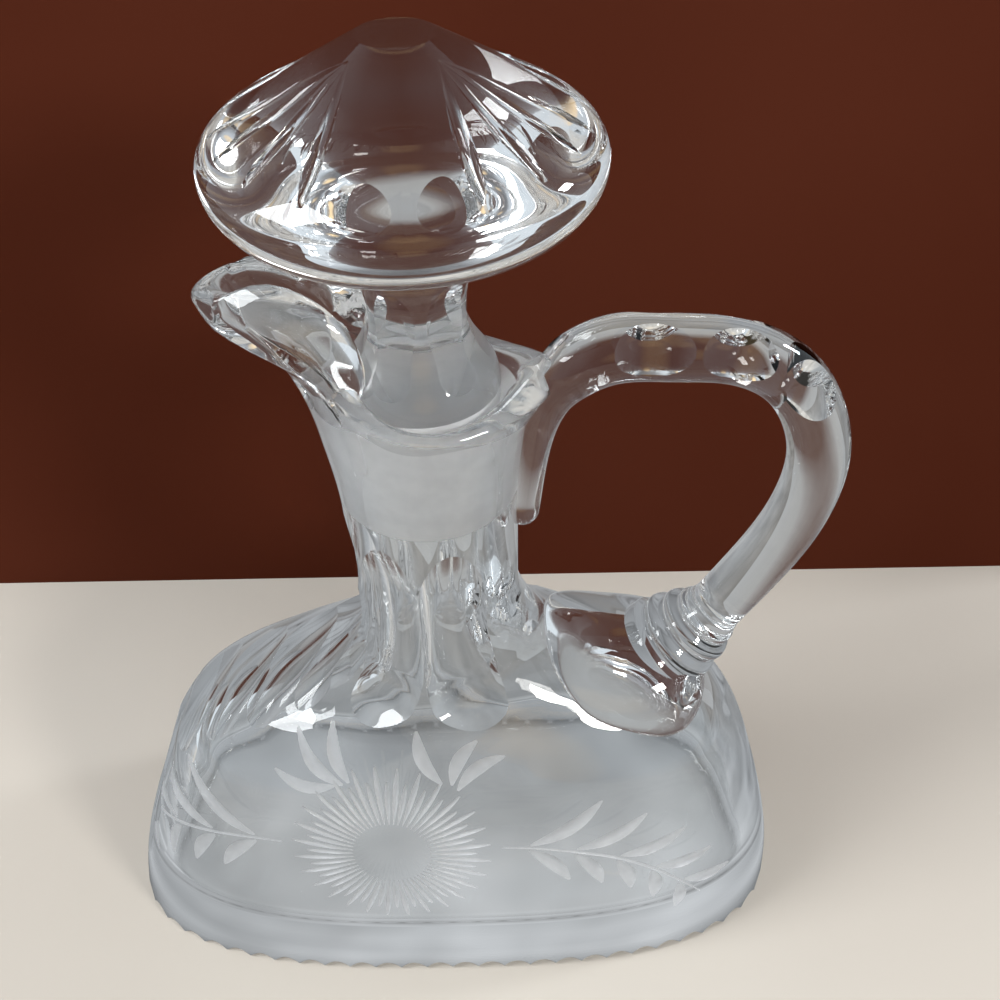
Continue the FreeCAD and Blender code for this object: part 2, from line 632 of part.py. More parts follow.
def head_cuts():
    """The fans of mitre cuts on the head, mirrored from one side of the handle's plane to the other."""
    corner = math.radians(180.0 / FAN_COUNT)
    cone_run = (FAN_START_RADIUS - TABLE_RADIUS) / (CONE_EDGE_RADIUS - TABLE_RADIUS)
    start_height = STOPPER_HEIGHT + cone_run * (CONE_EDGE_HEIGHT - STOPPER_HEIGHT)
    end_height = head_height(FAN_END_RADIUS) - MITRE_DEPTH
    cutters = []
    for across in (-1, 1):
        for along in (-1, 1):
            start = Vec(across * FAN_START_RADIUS * math.sin(corner),
                        along * FAN_START_RADIUS * math.cos(corner), start_height)
            for turn in FAN_END_ANGLES:
                angle = corner + math.radians(turn)
                end = Vec(across * FAN_END_RADIUS * math.sin(angle),
                          along * FAN_END_RADIUS * math.cos(angle), end_height)
                cutters.append(mitre_wedge(start, end))
    return cutters


def make_stopper():
    """Head, faceted stem and ground plug in one solid piece of glass."""
    blank = stopper_profile().revolve(Vec(0, 0, 0), Vec(0, 0, 1), 360)
    return blank.cut(stem_wheels()).cut(head_cuts())


def main():
    os.makedirs("parts", exist_ok=True)
    make_vessel().exportStep("parts/vessel.step")
    make_stopper().exportStep("parts/stopper.step")


main()
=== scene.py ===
import math

import bpy
import numpy as np
from mathutils import Matrix, Vector
from mathutils.bvhtree import BVHTree


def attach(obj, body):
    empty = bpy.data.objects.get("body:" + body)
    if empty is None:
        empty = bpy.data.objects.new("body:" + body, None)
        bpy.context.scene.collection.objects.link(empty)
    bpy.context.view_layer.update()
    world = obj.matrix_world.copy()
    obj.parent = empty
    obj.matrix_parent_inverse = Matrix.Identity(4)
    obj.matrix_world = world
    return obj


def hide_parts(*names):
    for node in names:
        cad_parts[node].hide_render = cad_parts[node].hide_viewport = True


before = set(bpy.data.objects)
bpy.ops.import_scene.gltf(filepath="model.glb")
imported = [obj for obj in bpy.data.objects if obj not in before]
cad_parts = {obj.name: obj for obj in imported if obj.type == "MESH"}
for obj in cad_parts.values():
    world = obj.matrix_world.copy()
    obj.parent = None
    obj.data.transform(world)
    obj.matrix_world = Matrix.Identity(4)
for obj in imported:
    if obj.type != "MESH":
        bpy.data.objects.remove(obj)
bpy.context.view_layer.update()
MM = 0.001
UP = np.array([0.0, 0.0, 1.0])

# ---------------------------------------------------------------- sizes, in millimetres
# Body and lip: (height, half size) from the neck's axis to the spout's side, the handle's side and the front.
LEFT_REACHES = [(0, 61.5), (8, 59.9), (28, 53.4), (44, 46.2), (52, 35.4), (58.5, 22.6), (66, 14.4),
                (78, 12.8), (93, 12.8), (108, 14.4), (118.9, 18.4), (124.6, 26.6), (134, 29.5)]
RIGHT_REACHES = [(0, 61.5), (8, 60.9), (28, 56.2), (44, 50.2), (52, 42.6), (58.5, 30.0), (66, 17.0),
                 (78, 12.8), (93, 12.8), (108, 14.0), (118.9, 20.8), (134, 23)]
DEPTHS = [(0, 28), (8, 27.7), (28, 26.0), (44, 22.4), (52, 19.1), (58.5, 16.2), (66, 13.6), (78, 12.8),
          (93, 12.8), (108, 13.4), (134, 14.4)]
# Squareness is the exponent of the oval; the pinch narrows its two ends.
SQUARENESSES = [(0, 2.8), (44, 2.55), (58.5, 2.2), (78, 2.0), (108, 2.0), (118.9, 1.75), (134, 1.8)]
PINCHES = [(108, 0.0), (118.9, 0.3), (134, 0.5)]
LIP_TOP = 134.0
LIP_ROOT = 93.0
LIP_FLARE = 108.0
LIP_WALL = 2.2
SPOUT_WALL = 3.4
LIP_LIFT = 2.2
LIP_BLEND = 8.0
LIP_FLARE_STEP = 0.5
RIM_ROUND = 1.3
# Height of the rim along x, from the spout to the handle.
RIM_LINE = [(-43, 112), (-29, 127.5), (-24.5, 130.3), (-20, 129.8), (-14, 123.7), (-6, 117.2),
            (3, 114.9), (11, 115), (18, 116.4), (24, 117.6), (35, 118.5)]
FIT_RADIUS = 10.8
FIT_TAPER = 0.05
FIT_TOP = 115.0
FIT_LOW = 95.5
FIT_CLEARANCE = 0.12
WALL = 4.2
SHOULDER_WALL = 3.0
FLOOR = 9.0
FLOOR_CORNER = 6.0

# Fineness of the meshes.
COLUMNS = 240
HALVINGS = 40
BODY_ROWS = 80
LIP_ROWS = 30
RIM_ROWS = 13
FUNNEL_ROWS = 18
BORE_ROWS = 14
CAVITY_ROWS = 58
CORNER_ROWS = 9
SPLINE_FINENESS = 40
WHEEL_SEGMENTS = 160


# ---------------------------------------------------------------- curves
def smooth(knots, height):
    """Smooth curve through (height, value) knots with no overshoot, at an array of heights."""
    xs = np.array([k[0] for k in knots], float)
    ys = np.array([k[1] for k in knots], float)
    h = np.clip(np.asarray(height, float), xs[0], xs[-1])
    slopes = np.diff(ys) / np.diff(xs)
    before, after = slopes[:-1], slopes[1:]
    total = np.where(before + after == 0, 1.0, before + after)
    inner = np.where(before * after <= 0, 0.0, 2 * before * after / total)
    tangents = np.concatenate([slopes[:1], inner, slopes[-1:]])
    i = np.clip(np.searchsorted(xs, h, side="right") - 1, 0, len(slopes) - 1)
    step = xs[i + 1] - xs[i]
    t = (h - xs[i]) / step
    rise = 3 * t ** 2 - 2 * t ** 3
    lead = t ** 3 - 2 * t ** 2 + t
    trail = t ** 3 - t ** 2
    return (1 - rise) * ys[i] + rise * ys[i + 1] + step * (lead * tangents[i] + trail * tangents[i + 1])


def spline(points, step):
    """Points at even steps along the natural cubic curve through the given points."""
    p = np.asarray(points, float)
    u = run_along(p)
    n = len(p)
    h = np.diff(u)
    a = np.eye(n)
    b = np.zeros_like(p)
    for i in range(1, n - 1):
        a[i, i - 1], a[i, i], a[i, i + 1] = h[i - 1], 2 * (h[i - 1] + h[i]), h[i]
        b[i] = 6 * ((p[i + 1] - p[i]) / h[i] - (p[i] - p[i - 1]) / h[i - 1])
    m = np.linalg.solve(a, b)
    fine = np.linspace(0, u[-1], SPLINE_FINENESS * n)
    k = np.clip(np.searchsorted(u, fine, side="right") - 1, 0, n - 2)
    w1 = ((fine - u[k]) / h[k])[:, None]
    w0 = 1 - w1
    hk = h[k][:, None]
    curve = w0 * p[k] + w1 * p[k + 1] + hk ** 2 / 6 * ((w0 ** 3 - w0) * m[k] + (w1 ** 3 - w1) * m[k + 1])
    run = run_along(curve)
    even = np.linspace(0, run[-1], max(2, int(round(run[-1] / step)) + 1))
    return np.stack([np.interp(even, run, curve[:, c]) for c in range(p.shape[1])], -1), even


def unit(v):
    v = np.asarray(v, float)
    return v / np.maximum(np.linalg.norm(v, axis=-1, keepdims=True), 1e-12)


def run_along(line):
    """Distance travelled at each point of a line."""
    return np.concatenate([[0.0], np.cumsum(np.linalg.norm(np.diff(line, axis=0), axis=1))])


def turns(count):
    """Evenly spaced angles once round."""
    return np.arange(count) * 2 * math.pi / count


def superellipse(across, along, squareness):
    """How far a direction goes before it meets the unit oval of that squareness."""
    return (abs(across) ** squareness + abs(along) ** squareness) ** (-1 / squareness)


# ---------------------------------------------------------------- meshes
class Solid:
    """Points, faces and one tag for each face. The tag says which smooth surface the face belongs to."""

    def __init__(self, points, faces, tags):
        self.points = np.asarray(points, float)
        self.faces = faces
        self.tags = tags


def skin(rows, tags, start_tag=None, end_tag=None):
    """Closed solid over rows of points, with a flat or pointed end over the first and the last row."""
    columns = len(rows[0])
    points = np.concatenate([np.concatenate(rows), [rows[0].mean(0)], [rows[-1].mean(0)]])
    start, end = len(points) - 2, len(points) - 1
    faces, face_tags = [], []
    for j in range(columns):
        faces.append((start, (j + 1) % columns, j))
        face_tags.append(start_tag or tags[0])
    for i in range(len(rows) - 1):
        a, b = i * columns, (i + 1) * columns
        for j in range(columns):
            k = (j + 1) % columns
            faces.append((a + j, a + k, b + k, b + j))
            face_tags.append(tags[i])
    last = (len(rows) - 1) * columns
    for j in range(columns):
        faces.append((end, last + j, last + (j + 1) % columns))
        face_tags.append(end_tag or tags[-1])
    solid = Solid(points, faces, face_tags)
    if volume(solid) < 0:
        solid.faces = [face[::-1] for face in solid.faces]
    return solid


def triangles_of(faces):
    return np.array([(f[0], f[k], f[k + 1]) for f in faces for k in range(1, len(f) - 1)])


def volume(solid):
    centred = solid.points - solid.points.mean(0)
    a, b, c = centred[triangles_of(solid.faces)].transpose(1, 0, 2)
    return (a * np.cross(b, c)).sum()


def lathe(origin, axis, profile, segments, tag, end_tag=None):
    """Solid of revolution about an axis; the profile is (distance along, radius) pairs."""
    axis = unit(axis)
    side = unit(np.cross(axis, UP if abs(axis[2]) < 0.9 else np.array([1.0, 0.0, 0.0])))
    other = np.cross(axis, side)
    turn = turns(segments)
    ring = np.cos(turn)[:, None] * side + np.sin(turn)[:, None] * other
    rows = [np.asarray(origin, float) + along * axis + radius * ring for along, radius in profile]
    return skin(rows, [tag] * (len(rows) - 1), end_tag, end_tag)


def wheel(centre, axis, radius, length, tag, segments=WHEEL_SEGMENTS):
    return lathe(centre, axis, [(-length / 2, radius), (length / 2, radius)], segments, tag, "flat")


def joined(solids):
    """Several solids that don't touch one another as one mesh."""
    points, faces, tags, base = [], [], [], 0
    for solid in solids:
        points.append(solid.points)
        faces += [tuple(i + base for i in face) for face in solid.faces]
        tags += solid.tags
        base += len(solid.points)
    return Solid(np.concatenate(points), faces, tags)


SOURCES = {}
TAG_MATERIALS = {}


def tag_material(tag):
    if tag not in TAG_MATERIALS:
        TAG_MATERIALS[tag] = bpy.data.materials.new("tag_" + tag)
    return TAG_MATERIALS[tag]


def remember(solid):
    """Keeps each tagged surface with its own smooth normals, to shade the finished glass by."""
    by_tag = {}
    for face, tag in zip(solid.faces, solid.tags):
        by_tag.setdefault(tag, []).append(face)
    for tag, faces in by_tag.items():
        if tag == "flat":
            continue
        triangles = triangles_of(faces)
        a, b, c = (solid.points[triangles[:, k]] for k in range(3))
        across = np.cross(b - a, c - a)
        normals = np.zeros_like(solid.points)
        for k in range(3):
            np.add.at(normals, triangles[:, k], across)
        SOURCES.setdefault(tag, []).append((solid.points, triangles, unit(normals)))


def to_object(name, solid):
    mesh = bpy.data.meshes.new(name)
    mesh.from_pydata((solid.points * MM).tolist(), [], solid.faces)
    names = sorted(set(solid.tags))
    for tag in names:
        mesh.materials.append(tag_material(tag))
    index = {tag: i for i, tag in enumerate(names)}
    mesh.polygons.foreach_set("material_index", [index[tag] for tag in solid.tags])
    mesh.update()
    obj = bpy.data.objects.new(name, mesh)
    bpy.context.scene.collection.objects.link(obj)
    return obj


def made(name, solid):
    remember(solid)
    return to_object(name, solid)


def combine(obj, others, operation):
    """Cuts the other objects from one, or fuses them to it, one after another."""
    for other in others:
        step = obj.modifiers.new("step", "BOOLEAN")
        step.operation = operation
        step.solver = "MANIFOLD"
        step.material_mode = "TRANSFER"
        step.object = other
    mesh = bpy.data.meshes.new_from_object(obj.evaluated_get(bpy.context.evaluated_depsgraph_get()))
    obj.modifiers.clear()
    obj.data = mesh
    for other in others:
        bpy.data.objects.remove(other)


def cut(obj, solids):
    combine(obj, [made("cutter", solid) for solid in solids], "DIFFERENCE")


def shade(obj, finishes):
    """Gives every face the normals of the smooth surface it came from, and its final material."""
    mesh = obj.data
    count = len(mesh.loops)
    corner_point = np.zeros(count, np.int32)
    mesh.loops.foreach_get("vertex_index", corner_point)
    points = np.zeros(len(mesh.vertices) * 3)
    mesh.vertices.foreach_get("co", points)
    points = points.reshape(-1, 3) / MM
    faces = len(mesh.polygons)
    start, total, index = np.zeros(faces, np.int32), np.zeros(faces, np.int32), np.zeros(faces, np.int32)
    mesh.polygons.foreach_get("loop_start", start)
    mesh.polygons.foreach_get("loop_total", total)
    mesh.polygons.foreach_get("material_index", index)
    flat = np.zeros(faces * 3)
    mesh.polygons.foreach_get("normal", flat)
    flat = flat.reshape(-1, 3)
    corner_face = np.repeat(np.arange(faces), total)
    order = np.concatenate([np.arange(s, s + t) for s, t in zip(start, total)])
    face_of = np.zeros(count, np.int32)
    face_of[order] = corner_face
    normals = flat[face_of].copy()
    tags = [m.name[4:].split(".")[0] for m in mesh.materials]
    for slot_index, tag in enumerate(tags):
        if tag not in SOURCES:
            continue
        corners = np.nonzero(index[face_of] == slot_index)[0]
        if not len(corners):
            continue
        used, back = np.unique(corner_point[corners], return_inverse=True)
        found = surface_normals(SOURCES[tag], points[used])[back]
        facing = (found * flat[face_of[corners]]).sum(1)
        normals[corners] = found * np.where(facing < 0, -1.0, 1.0)[:, None]
    mesh.polygons.foreach_set("use_smooth", np.ones(faces, bool))
    wanted = [finishes.get(tag, finishes["default"]) for tag in tags]
    final = []
    for material in wanted:
        if material not in final:
            final.append(material)
    new_index = np.array([final.index(material) for material in wanted], np.int32)[index]
    mesh.materials.clear()
    for material in final:
        mesh.materials.append(material)
    mesh.polygons.foreach_set("material_index", new_index)
    mesh.normals_split_custom_set(unit(normals).tolist())
    mesh.update()
    return obj


def surface_normals(parts, wanted):
    """Smooth normals of a tagged surface at its points nearest to the wanted ones."""
    points = np.concatenate([p for p, _, _ in parts])
    normals = np.concatenate([n for _, _, n in parts])
    shift = np.cumsum([0] + [len(p) for p, _, _ in parts[:-1]])
    triangles = np.concatenate([t + s for (_, t, _), s in zip(parts, shift)])
    tree = BVHTree.FromPolygons(points.tolist(), triangles.tolist())
    place = np.zeros((len(wanted), 3))
    which = np.zeros(len(wanted), np.int64)
    for i, p in enumerate(wanted):
        location, _, face, _ = tree.find_nearest(p)
        place[i] = location
        which[i] = face
    a, b, c = (points[triangles[which, k]] for k in range(3))
    whole = np.cross(b - a, c - a)
    area = np.maximum((whole ** 2).sum(1), 1e-18)
    wa = (np.cross(b - place, c - place) * whole).sum(1) / area
    wb = (np.cross(c - place, a - place) * whole).sum(1) / area
    wc = 1 - wa - wb
    na, nb, nc = (normals[triangles[which, k]] for k in range(3))
    return unit(wa[:, None] * na + wb[:, None] * nb + wc[:, None] * nc)


# ---------------------------------------------------------------- vessel shell
ROUND_TURNS = turns(COLUMNS)


def oval(left, right, depth, squareness, pinch, height, angles):
    """Points of a level oval of the given half sizes and squareness, its two ends pinched."""
    across, along = np.cos(angles), np.sin(angles)
    scale = superellipse(across, along, squareness)
    reach = np.where(across > 0, right, left)
    height = height + 0 * across
    return np.stack([scale * reach * across, scale * depth * along * (1 - pinch * across ** 2), height], -1)


def outer_sizes(height):
    return [smooth(knots, height) for knots in (LEFT_REACHES, RIGHT_REACHES, DEPTHS, SQUARENESSES, PINCHES)]


def outer(height, angles=ROUND_TURNS):
    return oval(*outer_sizes(height), height, angles)


def fit_radius(height):
    return FIT_RADIUS - FIT_TAPER * (FIT_TOP - height)


def funnel(height):
    """Inside of the flared lip."""
    left, right, depth, squareness, pinch = outer_sizes(height - LIP_LIFT)
    bore = fit_radius(height) - LIP_FLARE_STEP
    share = np.clip((height - LIP_FLARE) / LIP_BLEND, 0, 1)
    walls = (SPOUT_WALL, LIP_WALL, LIP_WALL)
    sizes = [bore + (size - wall - bore) * share for size, wall in zip((left, right, depth), walls)]
    return oval(*sizes, squareness, pinch, height, ROUND_TURNS)


def cone(height):
    """The ground bore."""
    radius = fit_radius(height)
    return oval(radius, radius, radius, 2.0, 0.0, height, ROUND_TURNS)


def cavity(height):
    """Inside of the flask, with a round corner at its floor."""
    left, right, depth, squareness, _ = outer_sizes(height + SHOULDER_WALL)
    below = np.clip(1 - (height - FLOOR) / FLOOR_CORNER, 0, 1)
    inset = WALL + FLOOR_CORNER * (1 - np.sqrt(1 - below ** 2))
    return oval(left - inset, right - inset, depth - inset, squareness, 0.0, height, ROUND_TURNS)


def solve(low, high, difference):
    """Height in each column where a difference turns from negative to positive."""
    low = np.full(COLUMNS, float(low))
    high = np.full(COLUMNS, float(high))
    for _ in range(HALVINGS):
        middle = (low + high) / 2
        above = difference(middle) > 0
        high = np.where(above, middle, high)
        low = np.where(above, low, middle)
    return (low + high) / 2


RIM_STEP = 0.5
MEET_MARGIN = 1.0
MEET_BELOW_RIM = 0.4
RIM_CURVE, _ = spline(RIM_LINE, 0.25)


def rim_height(x):
    return np.interp(x, RIM_CURVE[:, 0], RIM_CURVE[:, 1])


class Rows:
    """Rows of points for a skin, each with the tag of the surface that leads to it."""

    def __init__(self):
        self.rows = []
        self.tags = []

    def add(self, row, tag):
        if self.rows:
            self.tags.append(tag)
        self.rows.append(row)


def rim_rows(outer_top, inner_top):
    """Round edge from the outside of the lip over to its inside."""
    a, b = outer(outer_top), funnel(inner_top)
    lean = unit(a - outer(outer_top - RIM_STEP)) + unit(b - funnel(inner_top - RIM_STEP))
    half = (a - b) / 2
    lean -= unit(half) * (lean * unit(half)).sum(1)[:, None]
    lean = unit(lean)
    rows = []
    for bow in np.linspace(0, math.pi, RIM_ROWS)[1:]:
        bulge = np.linalg.norm(half, axis=1)[:, None] * math.sin(bow) * lean
        rows.append((a + b) / 2 + half * math.cos(bow) + bulge)
    return rows


def vessel_shell():
    """The blown shell in one run of rows: up the outside, over the rim, down the bore and the cavity."""
    shell = Rows()
    outer_top = solve(LIP_ROOT, LIP_TOP, lambda h: h - rim_height(outer(h)[:, 0]) + RIM_ROUND)
    inner_top = solve(LIP_FLARE, LIP_TOP, lambda h: h - rim_height(funnel(h)[:, 0]) + RIM_ROUND)
    meet = solve(LIP_FLARE, FIT_TOP + MEET_MARGIN,
                 lambda h: np.linalg.norm(funnel(h)[:, :2], axis=1) - fit_radius(h))
    meet = np.minimum(meet, inner_top - MEET_BELOW_RIM)
    for height in np.linspace(0, LIP_ROOT, BODY_ROWS):
        shell.add(outer(height + np.zeros(COLUMNS)), "outer")
    for share in np.linspace(0, 1, LIP_ROWS)[1:]:
        shell.add(outer(LIP_ROOT + (outer_top - LIP_ROOT) * share), "outer")
    for row in rim_rows(outer_top, inner_top):
        shell.add(row, "outer")
    for share in np.linspace(0, 1, FUNNEL_ROWS)[1:]:
        shell.add(funnel(inner_top + (meet - inner_top) * share), "outer")
    for share in np.linspace(0, 1, BORE_ROWS)[1:]:
        shell.add(cone(meet + (FIT_LOW - meet) * share), "bore")
    shell.add(cavity(FIT_LOW + np.zeros(COLUMNS)), "ledge")
    for height in np.linspace(FIT_LOW, FLOOR + FLOOR_CORNER, CAVITY_ROWS)[1:]:
        shell.add(cavity(height + np.zeros(COLUMNS)), "cavity")
    for bow in np.linspace(0, math.pi / 2, CORNER_ROWS)[1:]:
        shell.add(cavity(FLOOR + FLOOR_CORNER * (1 - math.sin(bow)) + np.zeros(COLUMNS)), "cavity")
    return skin(shell.rows, shell.tags, "flat", "flat")


# ---------------------------------------------------------------- cuts on the vessel
def front(x, z, side=-1):
    """Point of the broad face at x, z, and its outward normal."""
    def y(x, z):
        left, right, depth, squareness, _ = outer_sizes(z)
        share = np.clip(abs(x) / np.where(x > 0, right, left), 0, 0.999)
        return side * depth * (1 - share ** squareness) ** (1 / squareness)
    e = 0.05
    point = np.stack([x, y(x, z), z], -1)
    slope_x = (y(x + e, z) - y(x - e, z)) / (2 * e)
    slope_z = (y(x, z + e) - y(x, z - e)) / (2 * e)
    normal = unit(np.stack([-slope_x, np.ones_like(slope_x), -slope_z], -1)) * side
    return point, normal


def v_cut(points, normals, asides, widths, depths, lift, tag):
    """V groove along points of a surface; its cutter stands out of the glass by the lift."""
    rows = []
    for p, n, s, w, d in zip(points, normals, asides, widths, depths):
        reach = w / 2 * (1 + lift / d)
        rows.append(np.stack([p + n * lift - s * reach, p - n * d, p + n * lift + s * reach]))
    return skin(rows, [tag] * (len(rows) - 1), tag, tag)


ENGRAVING_LIFT = 0.4


def groove(path_x, path_z, widths, depth, tag):
    """V groove along a path on the front, as wide as given at each step."""
    point, normal = front(path_x, path_z)
    aside = unit(np.cross(unit(np.gradient(point, axis=0)), normal))
    return v_cut(point, normal, aside, widths, depth * widths / widths.max(), ENGRAVING_LIFT, tag)


FLOWER_X, FLOWER_Z = -8.8, 35.6
HUB_RADIUS = 6.4
RAYS = 56
RAY_REACHES = (14.2, 16.6)
RAY_DEPTH = 0.45
RAY_FULL_RADIUS = 13.0


def flower(tag):
    solids = []
    share = np.linspace(0, 1, 9)
    widths = 0.15 + 0.95 * np.sin(math.pi * np.clip(share * 0.93 + 0.04, 0, 1)) ** 0.8
    for i in range(RAYS):
        turn = 2 * math.pi * i / RAYS
        radius = HUB_RADIUS + (RAY_REACHES[i % 2] - HUB_RADIUS) * share
        solids.append(groove(FLOWER_X + radius * math.cos(turn), FLOWER_Z + radius * math.sin(turn),
                             widths * np.clip(radius / RAY_FULL_RADIUS, 0.5, 1), RAY_DEPTH, tag))
    return joined(solids)


LEAF_BEND = 0.12
LEAF_DEPTH_SHARE = 0.12


def leaf(x, z, heading, length, width, tag, bend=LEAF_BEND):
    share = np.linspace(0, 1, 13)
    angle = math.radians(heading)
    aside = bend * length * np.sin(math.pi * share)
    path_x = x + length * share * math.cos(angle) - aside * math.sin(angle)
    path_z = z + length * share * math.sin(angle) + aside * math.cos(angle)
    widths = 0.12 + width * np.sin(math.pi * np.clip(share * 0.94 + 0.03, 0, 1)) ** 0.9
    return groove(path_x, path_z, widths, LEAF_DEPTH_SHARE * width, tag)


MIDRIB = [(9.5, 36.6), (14.2, 36.2), (20.9, 34.7), (29.4, 31.3), (38.7, 23.6), (45.0, 15.9)]
MIDRIB_DEPTH = 0.3
LEAF_PAIRS = 5
FIRST_PAIR = 0.10
PAIR_PITCH = 0.19
# Angle to the midrib, length of the first leaf, and how much shorter each next one is.
LEAF_SIDES = ((40, 14.0, 1.3), (-42, 10.5, 1.0))
LEAF_WIDTH = 2.7
LEAF_STALK = 0.9
LEAF_CURL = 0.08


def branch(mirror, tag):
    """Midrib with leaves on both sides; mirror is -1 for the branch on the spout side."""
    def place(x):
        return FLOWER_X + mirror * (x - FLOWER_X)

    line, _ = spline(MIDRIB, 1.0)
    share = np.linspace(0, 1, len(line))
    widths = 0.25 + 0.45 * np.sin(math.pi * np.clip(share * 0.9 + 0.05, 0, 1))
    solids = [groove(place(line[:, 0]), line[:, 1], widths, MIDRIB_DEPTH, tag)]
    for i in range(LEAF_PAIRS):
        at = int((FIRST_PAIR + PAIR_PITCH * i) * (len(line) - 1))
        heading = math.degrees(math.atan2(line[at + 1, 1] - line[at, 1], line[at + 1, 0] - line[at, 0]))
        for turn, first_length, shortening in LEAF_SIDES:
            angle = heading + turn
            side = 1 if turn > 0 else -1
            x = line[at, 0] + LEAF_STALK * math.cos(math.radians(angle))
            z = line[at, 1] + LEAF_STALK * math.sin(math.radians(angle))
            if mirror < 0:
                angle = 180 - angle
            length = first_length - shortening * i
            solids.append(leaf(place(x), z, angle, length, LEAF_WIDTH, tag, -LEAF_CURL * side * mirror))
    return joined(solids)


# Leaves above the flower: x, z, heading in degrees, length.
SPRAY_LEAVES = [(-17.2, 48.6, 176, 10.0), (-15.9, 48.8, 140, 9.4), (-14.9, 49.2, 106, 8.2),
                (0.1, 49.4, 113, 9.6), (1.7, 49.2, 60, 8.4), (2.6, 48.3, 35, 9.4)]
SPRAY_WIDTH = 2.3


def sprays(tag):
    return joined([leaf(*place, SPRAY_WIDTH, tag) for place in SPRAY_LEAVES])


NECK_CUTS = 8
NECK_CUT_TURN = -8.0
NECK_CUT_RADIUS = 13.0
NECK_CUT_DEPTHS = [(50, -4.0), (54, -3.0), (58.2, 0.0), (61.5, 1.7), (68, 2.2), (84, 2.0), (93.5, 0.0),
                   (97, -1.5), (103, -5)]
NECK_CUT_TOP = 103.0
NECK_CUT_LOW = 52.0
PLAIN_ANGLE = 50.0


def neck_flutes():
    """Round-bottomed flutes down the neck that end in a round arc on the shoulder."""
    cutters = []
    heights = np.linspace(NECK_CUT_TOP, NECK_CUT_LOW, 103)
    for i in range(NECK_CUTS):
        turn = 360.0 / NECK_CUTS * (i + 0.5) + NECK_CUT_TURN
        if abs((turn + 180) % 360 - 180) < PLAIN_ANGLE:
            continue
        across, along = math.cos(math.radians(turn)), math.sin(math.radians(turn))
        left, right, depth, squareness, _ = outer_sizes(heights)
        reach = left if across < 0 else right
        line = np.stack([superellipse(across / reach, along / depth, squareness), heights], -1)
        tangent = unit(np.gradient(line, axis=0))
        outward = np.stack([-tangent[:, 1], tangent[:, 0]], -1)
        centre = line + outward * (NECK_CUT_RADIUS - smooth(NECK_CUT_DEPTHS, heights))[:, None]
        keep = np.concatenate([[True], (np.diff(centre, axis=0) * tangent[1:]).sum(1) > 0])
        centre, tangent, outward = centre[keep], tangent[keep], outward[keep]
        cutters.append(neck_wheel_path(centre, outward, (across, along), f"flute{i}"))
    return cutters


def neck_wheel_path(centre, outward, plan, tag):
    """Rod swept along (radial, height) points in the upright plane through the axis and a plan direction."""
    turn = turns(72)
    aside = np.array([-plan[1], plan[0], 0.0])
    rows = []
    for (r, z), (lean, rise) in zip(centre, outward):
        place = np.array([r * plan[0], r * plan[1], z])
        out = np.array([lean * plan[0], lean * plan[1], rise])
        rows.append(place + NECK_CUT_RADIUS * (np.cos(turn)[:, None] * out + np.sin(turn)[:, None] * aside))
    return skin(rows, [tag] * (len(rows) - 1), "flat", "flat")


SIDE_CUTS = 7
SIDE_PITCH = 10.0
SIDE_FIRST = 9.0
SIDE_SLANT = 27.0
SIDE_DEPTH = 1.9
SIDE_RADIUS = 7.5
SIDE_WHEEL_LENGTH = 112.0
SIDE_TOP = 70.5
SIDE_LOW = 8.0


def point_at(line, run, at):
    return np.array([np.interp(at, run, line[:, k]) for k in range(3)])


def side_flutes():
    """Flutes that run aslant across the narrow side below the spout."""
    heights = np.linspace(SIDE_TOP, SIDE_LOW, 126)
    line = np.stack([-smooth(LEFT_REACHES, heights), 0 * heights, heights], -1)
    run = run_along(line)
    slant = math.radians(SIDE_SLANT)
    cutters = []
    for i in range(SIDE_CUTS):
        at = SIDE_FIRST + SIDE_PITCH * i
        here = point_at(line, run, at)
        upward = unit(here - point_at(line, run, at + 0.5))
        normal = unit(np.cross(upward, [0, 1, 0]))
        if normal[0] > 0:
            normal = -normal
        direction = np.array([0, math.cos(slant), 0]) + upward * math.sin(slant)
        middle = here + normal * (SIDE_RADIUS - SIDE_DEPTH)
        cutters.append(wheel(middle, direction, SIDE_RADIUS, SIDE_WHEEL_LENGTH, f"side{i}"))
    return cutters


NOTCH_PITCH = 4.8
NOTCH_RADIUS = 4.0
NOTCH_DEPTH = 1.2
NOTCH_TILT = 25.0
NOTCH_WHEEL_LENGTH = 14.0
EDGE_SAMPLES = 2000


def edge_notches():
    """Notches along the lower edge, in two sets, so that no notch meets its neighbour in one cut."""
    edge = outer(np.zeros(EDGE_SAMPLES), turns(EDGE_SAMPLES))
    loop = np.concatenate([edge, edge[:1]])
    run = run_along(loop)
    count = int(round(run[-1] / NOTCH_PITCH / 2)) * 2
    tilt = math.radians(NOTCH_TILT)
    sets = [[], []]
    for i in range(count):
        at = run[-1] * (i + 0.5) / count
        point = point_at(loop, run, at)
        tangent = unit(point_at(loop, run, at + 0.2) - point)
        outward = np.array([tangent[1], -tangent[0], 0.0])
        across = outward * math.sin(tilt) + UP * math.cos(tilt)
        away = outward * math.cos(tilt) - UP * math.sin(tilt)
        middle = point + away * (NOTCH_RADIUS - NOTCH_DEPTH)
        sets[i % 2].append(wheel(middle, across, NOTCH_RADIUS, NOTCH_WHEEL_LENGTH, f"notch{i % 2}", 72))
    return [joined(solids) for solids in sets]


# ---------------------------------------------------------------- handle
# Middle line in x and z, from the tail below the lip round to the shoulder.
HANDLE_LINE = [(13.3, 88.4), (13.5, 92), (14.4, 102), (16.3, 110.6), (20.2, 116.4), (26.0, 119.2),
               (33, 119.2), (41.6, 118.4), (48.8, 114.6), (53.3, 108.2), (55.5, 100.5), (55.2, 93),
               (53.2, 85.4), (49.8, 77.8), (46.2, 71.0), (42.8, 65.4), (38.4, 60.4), (34.6, 56.8)]
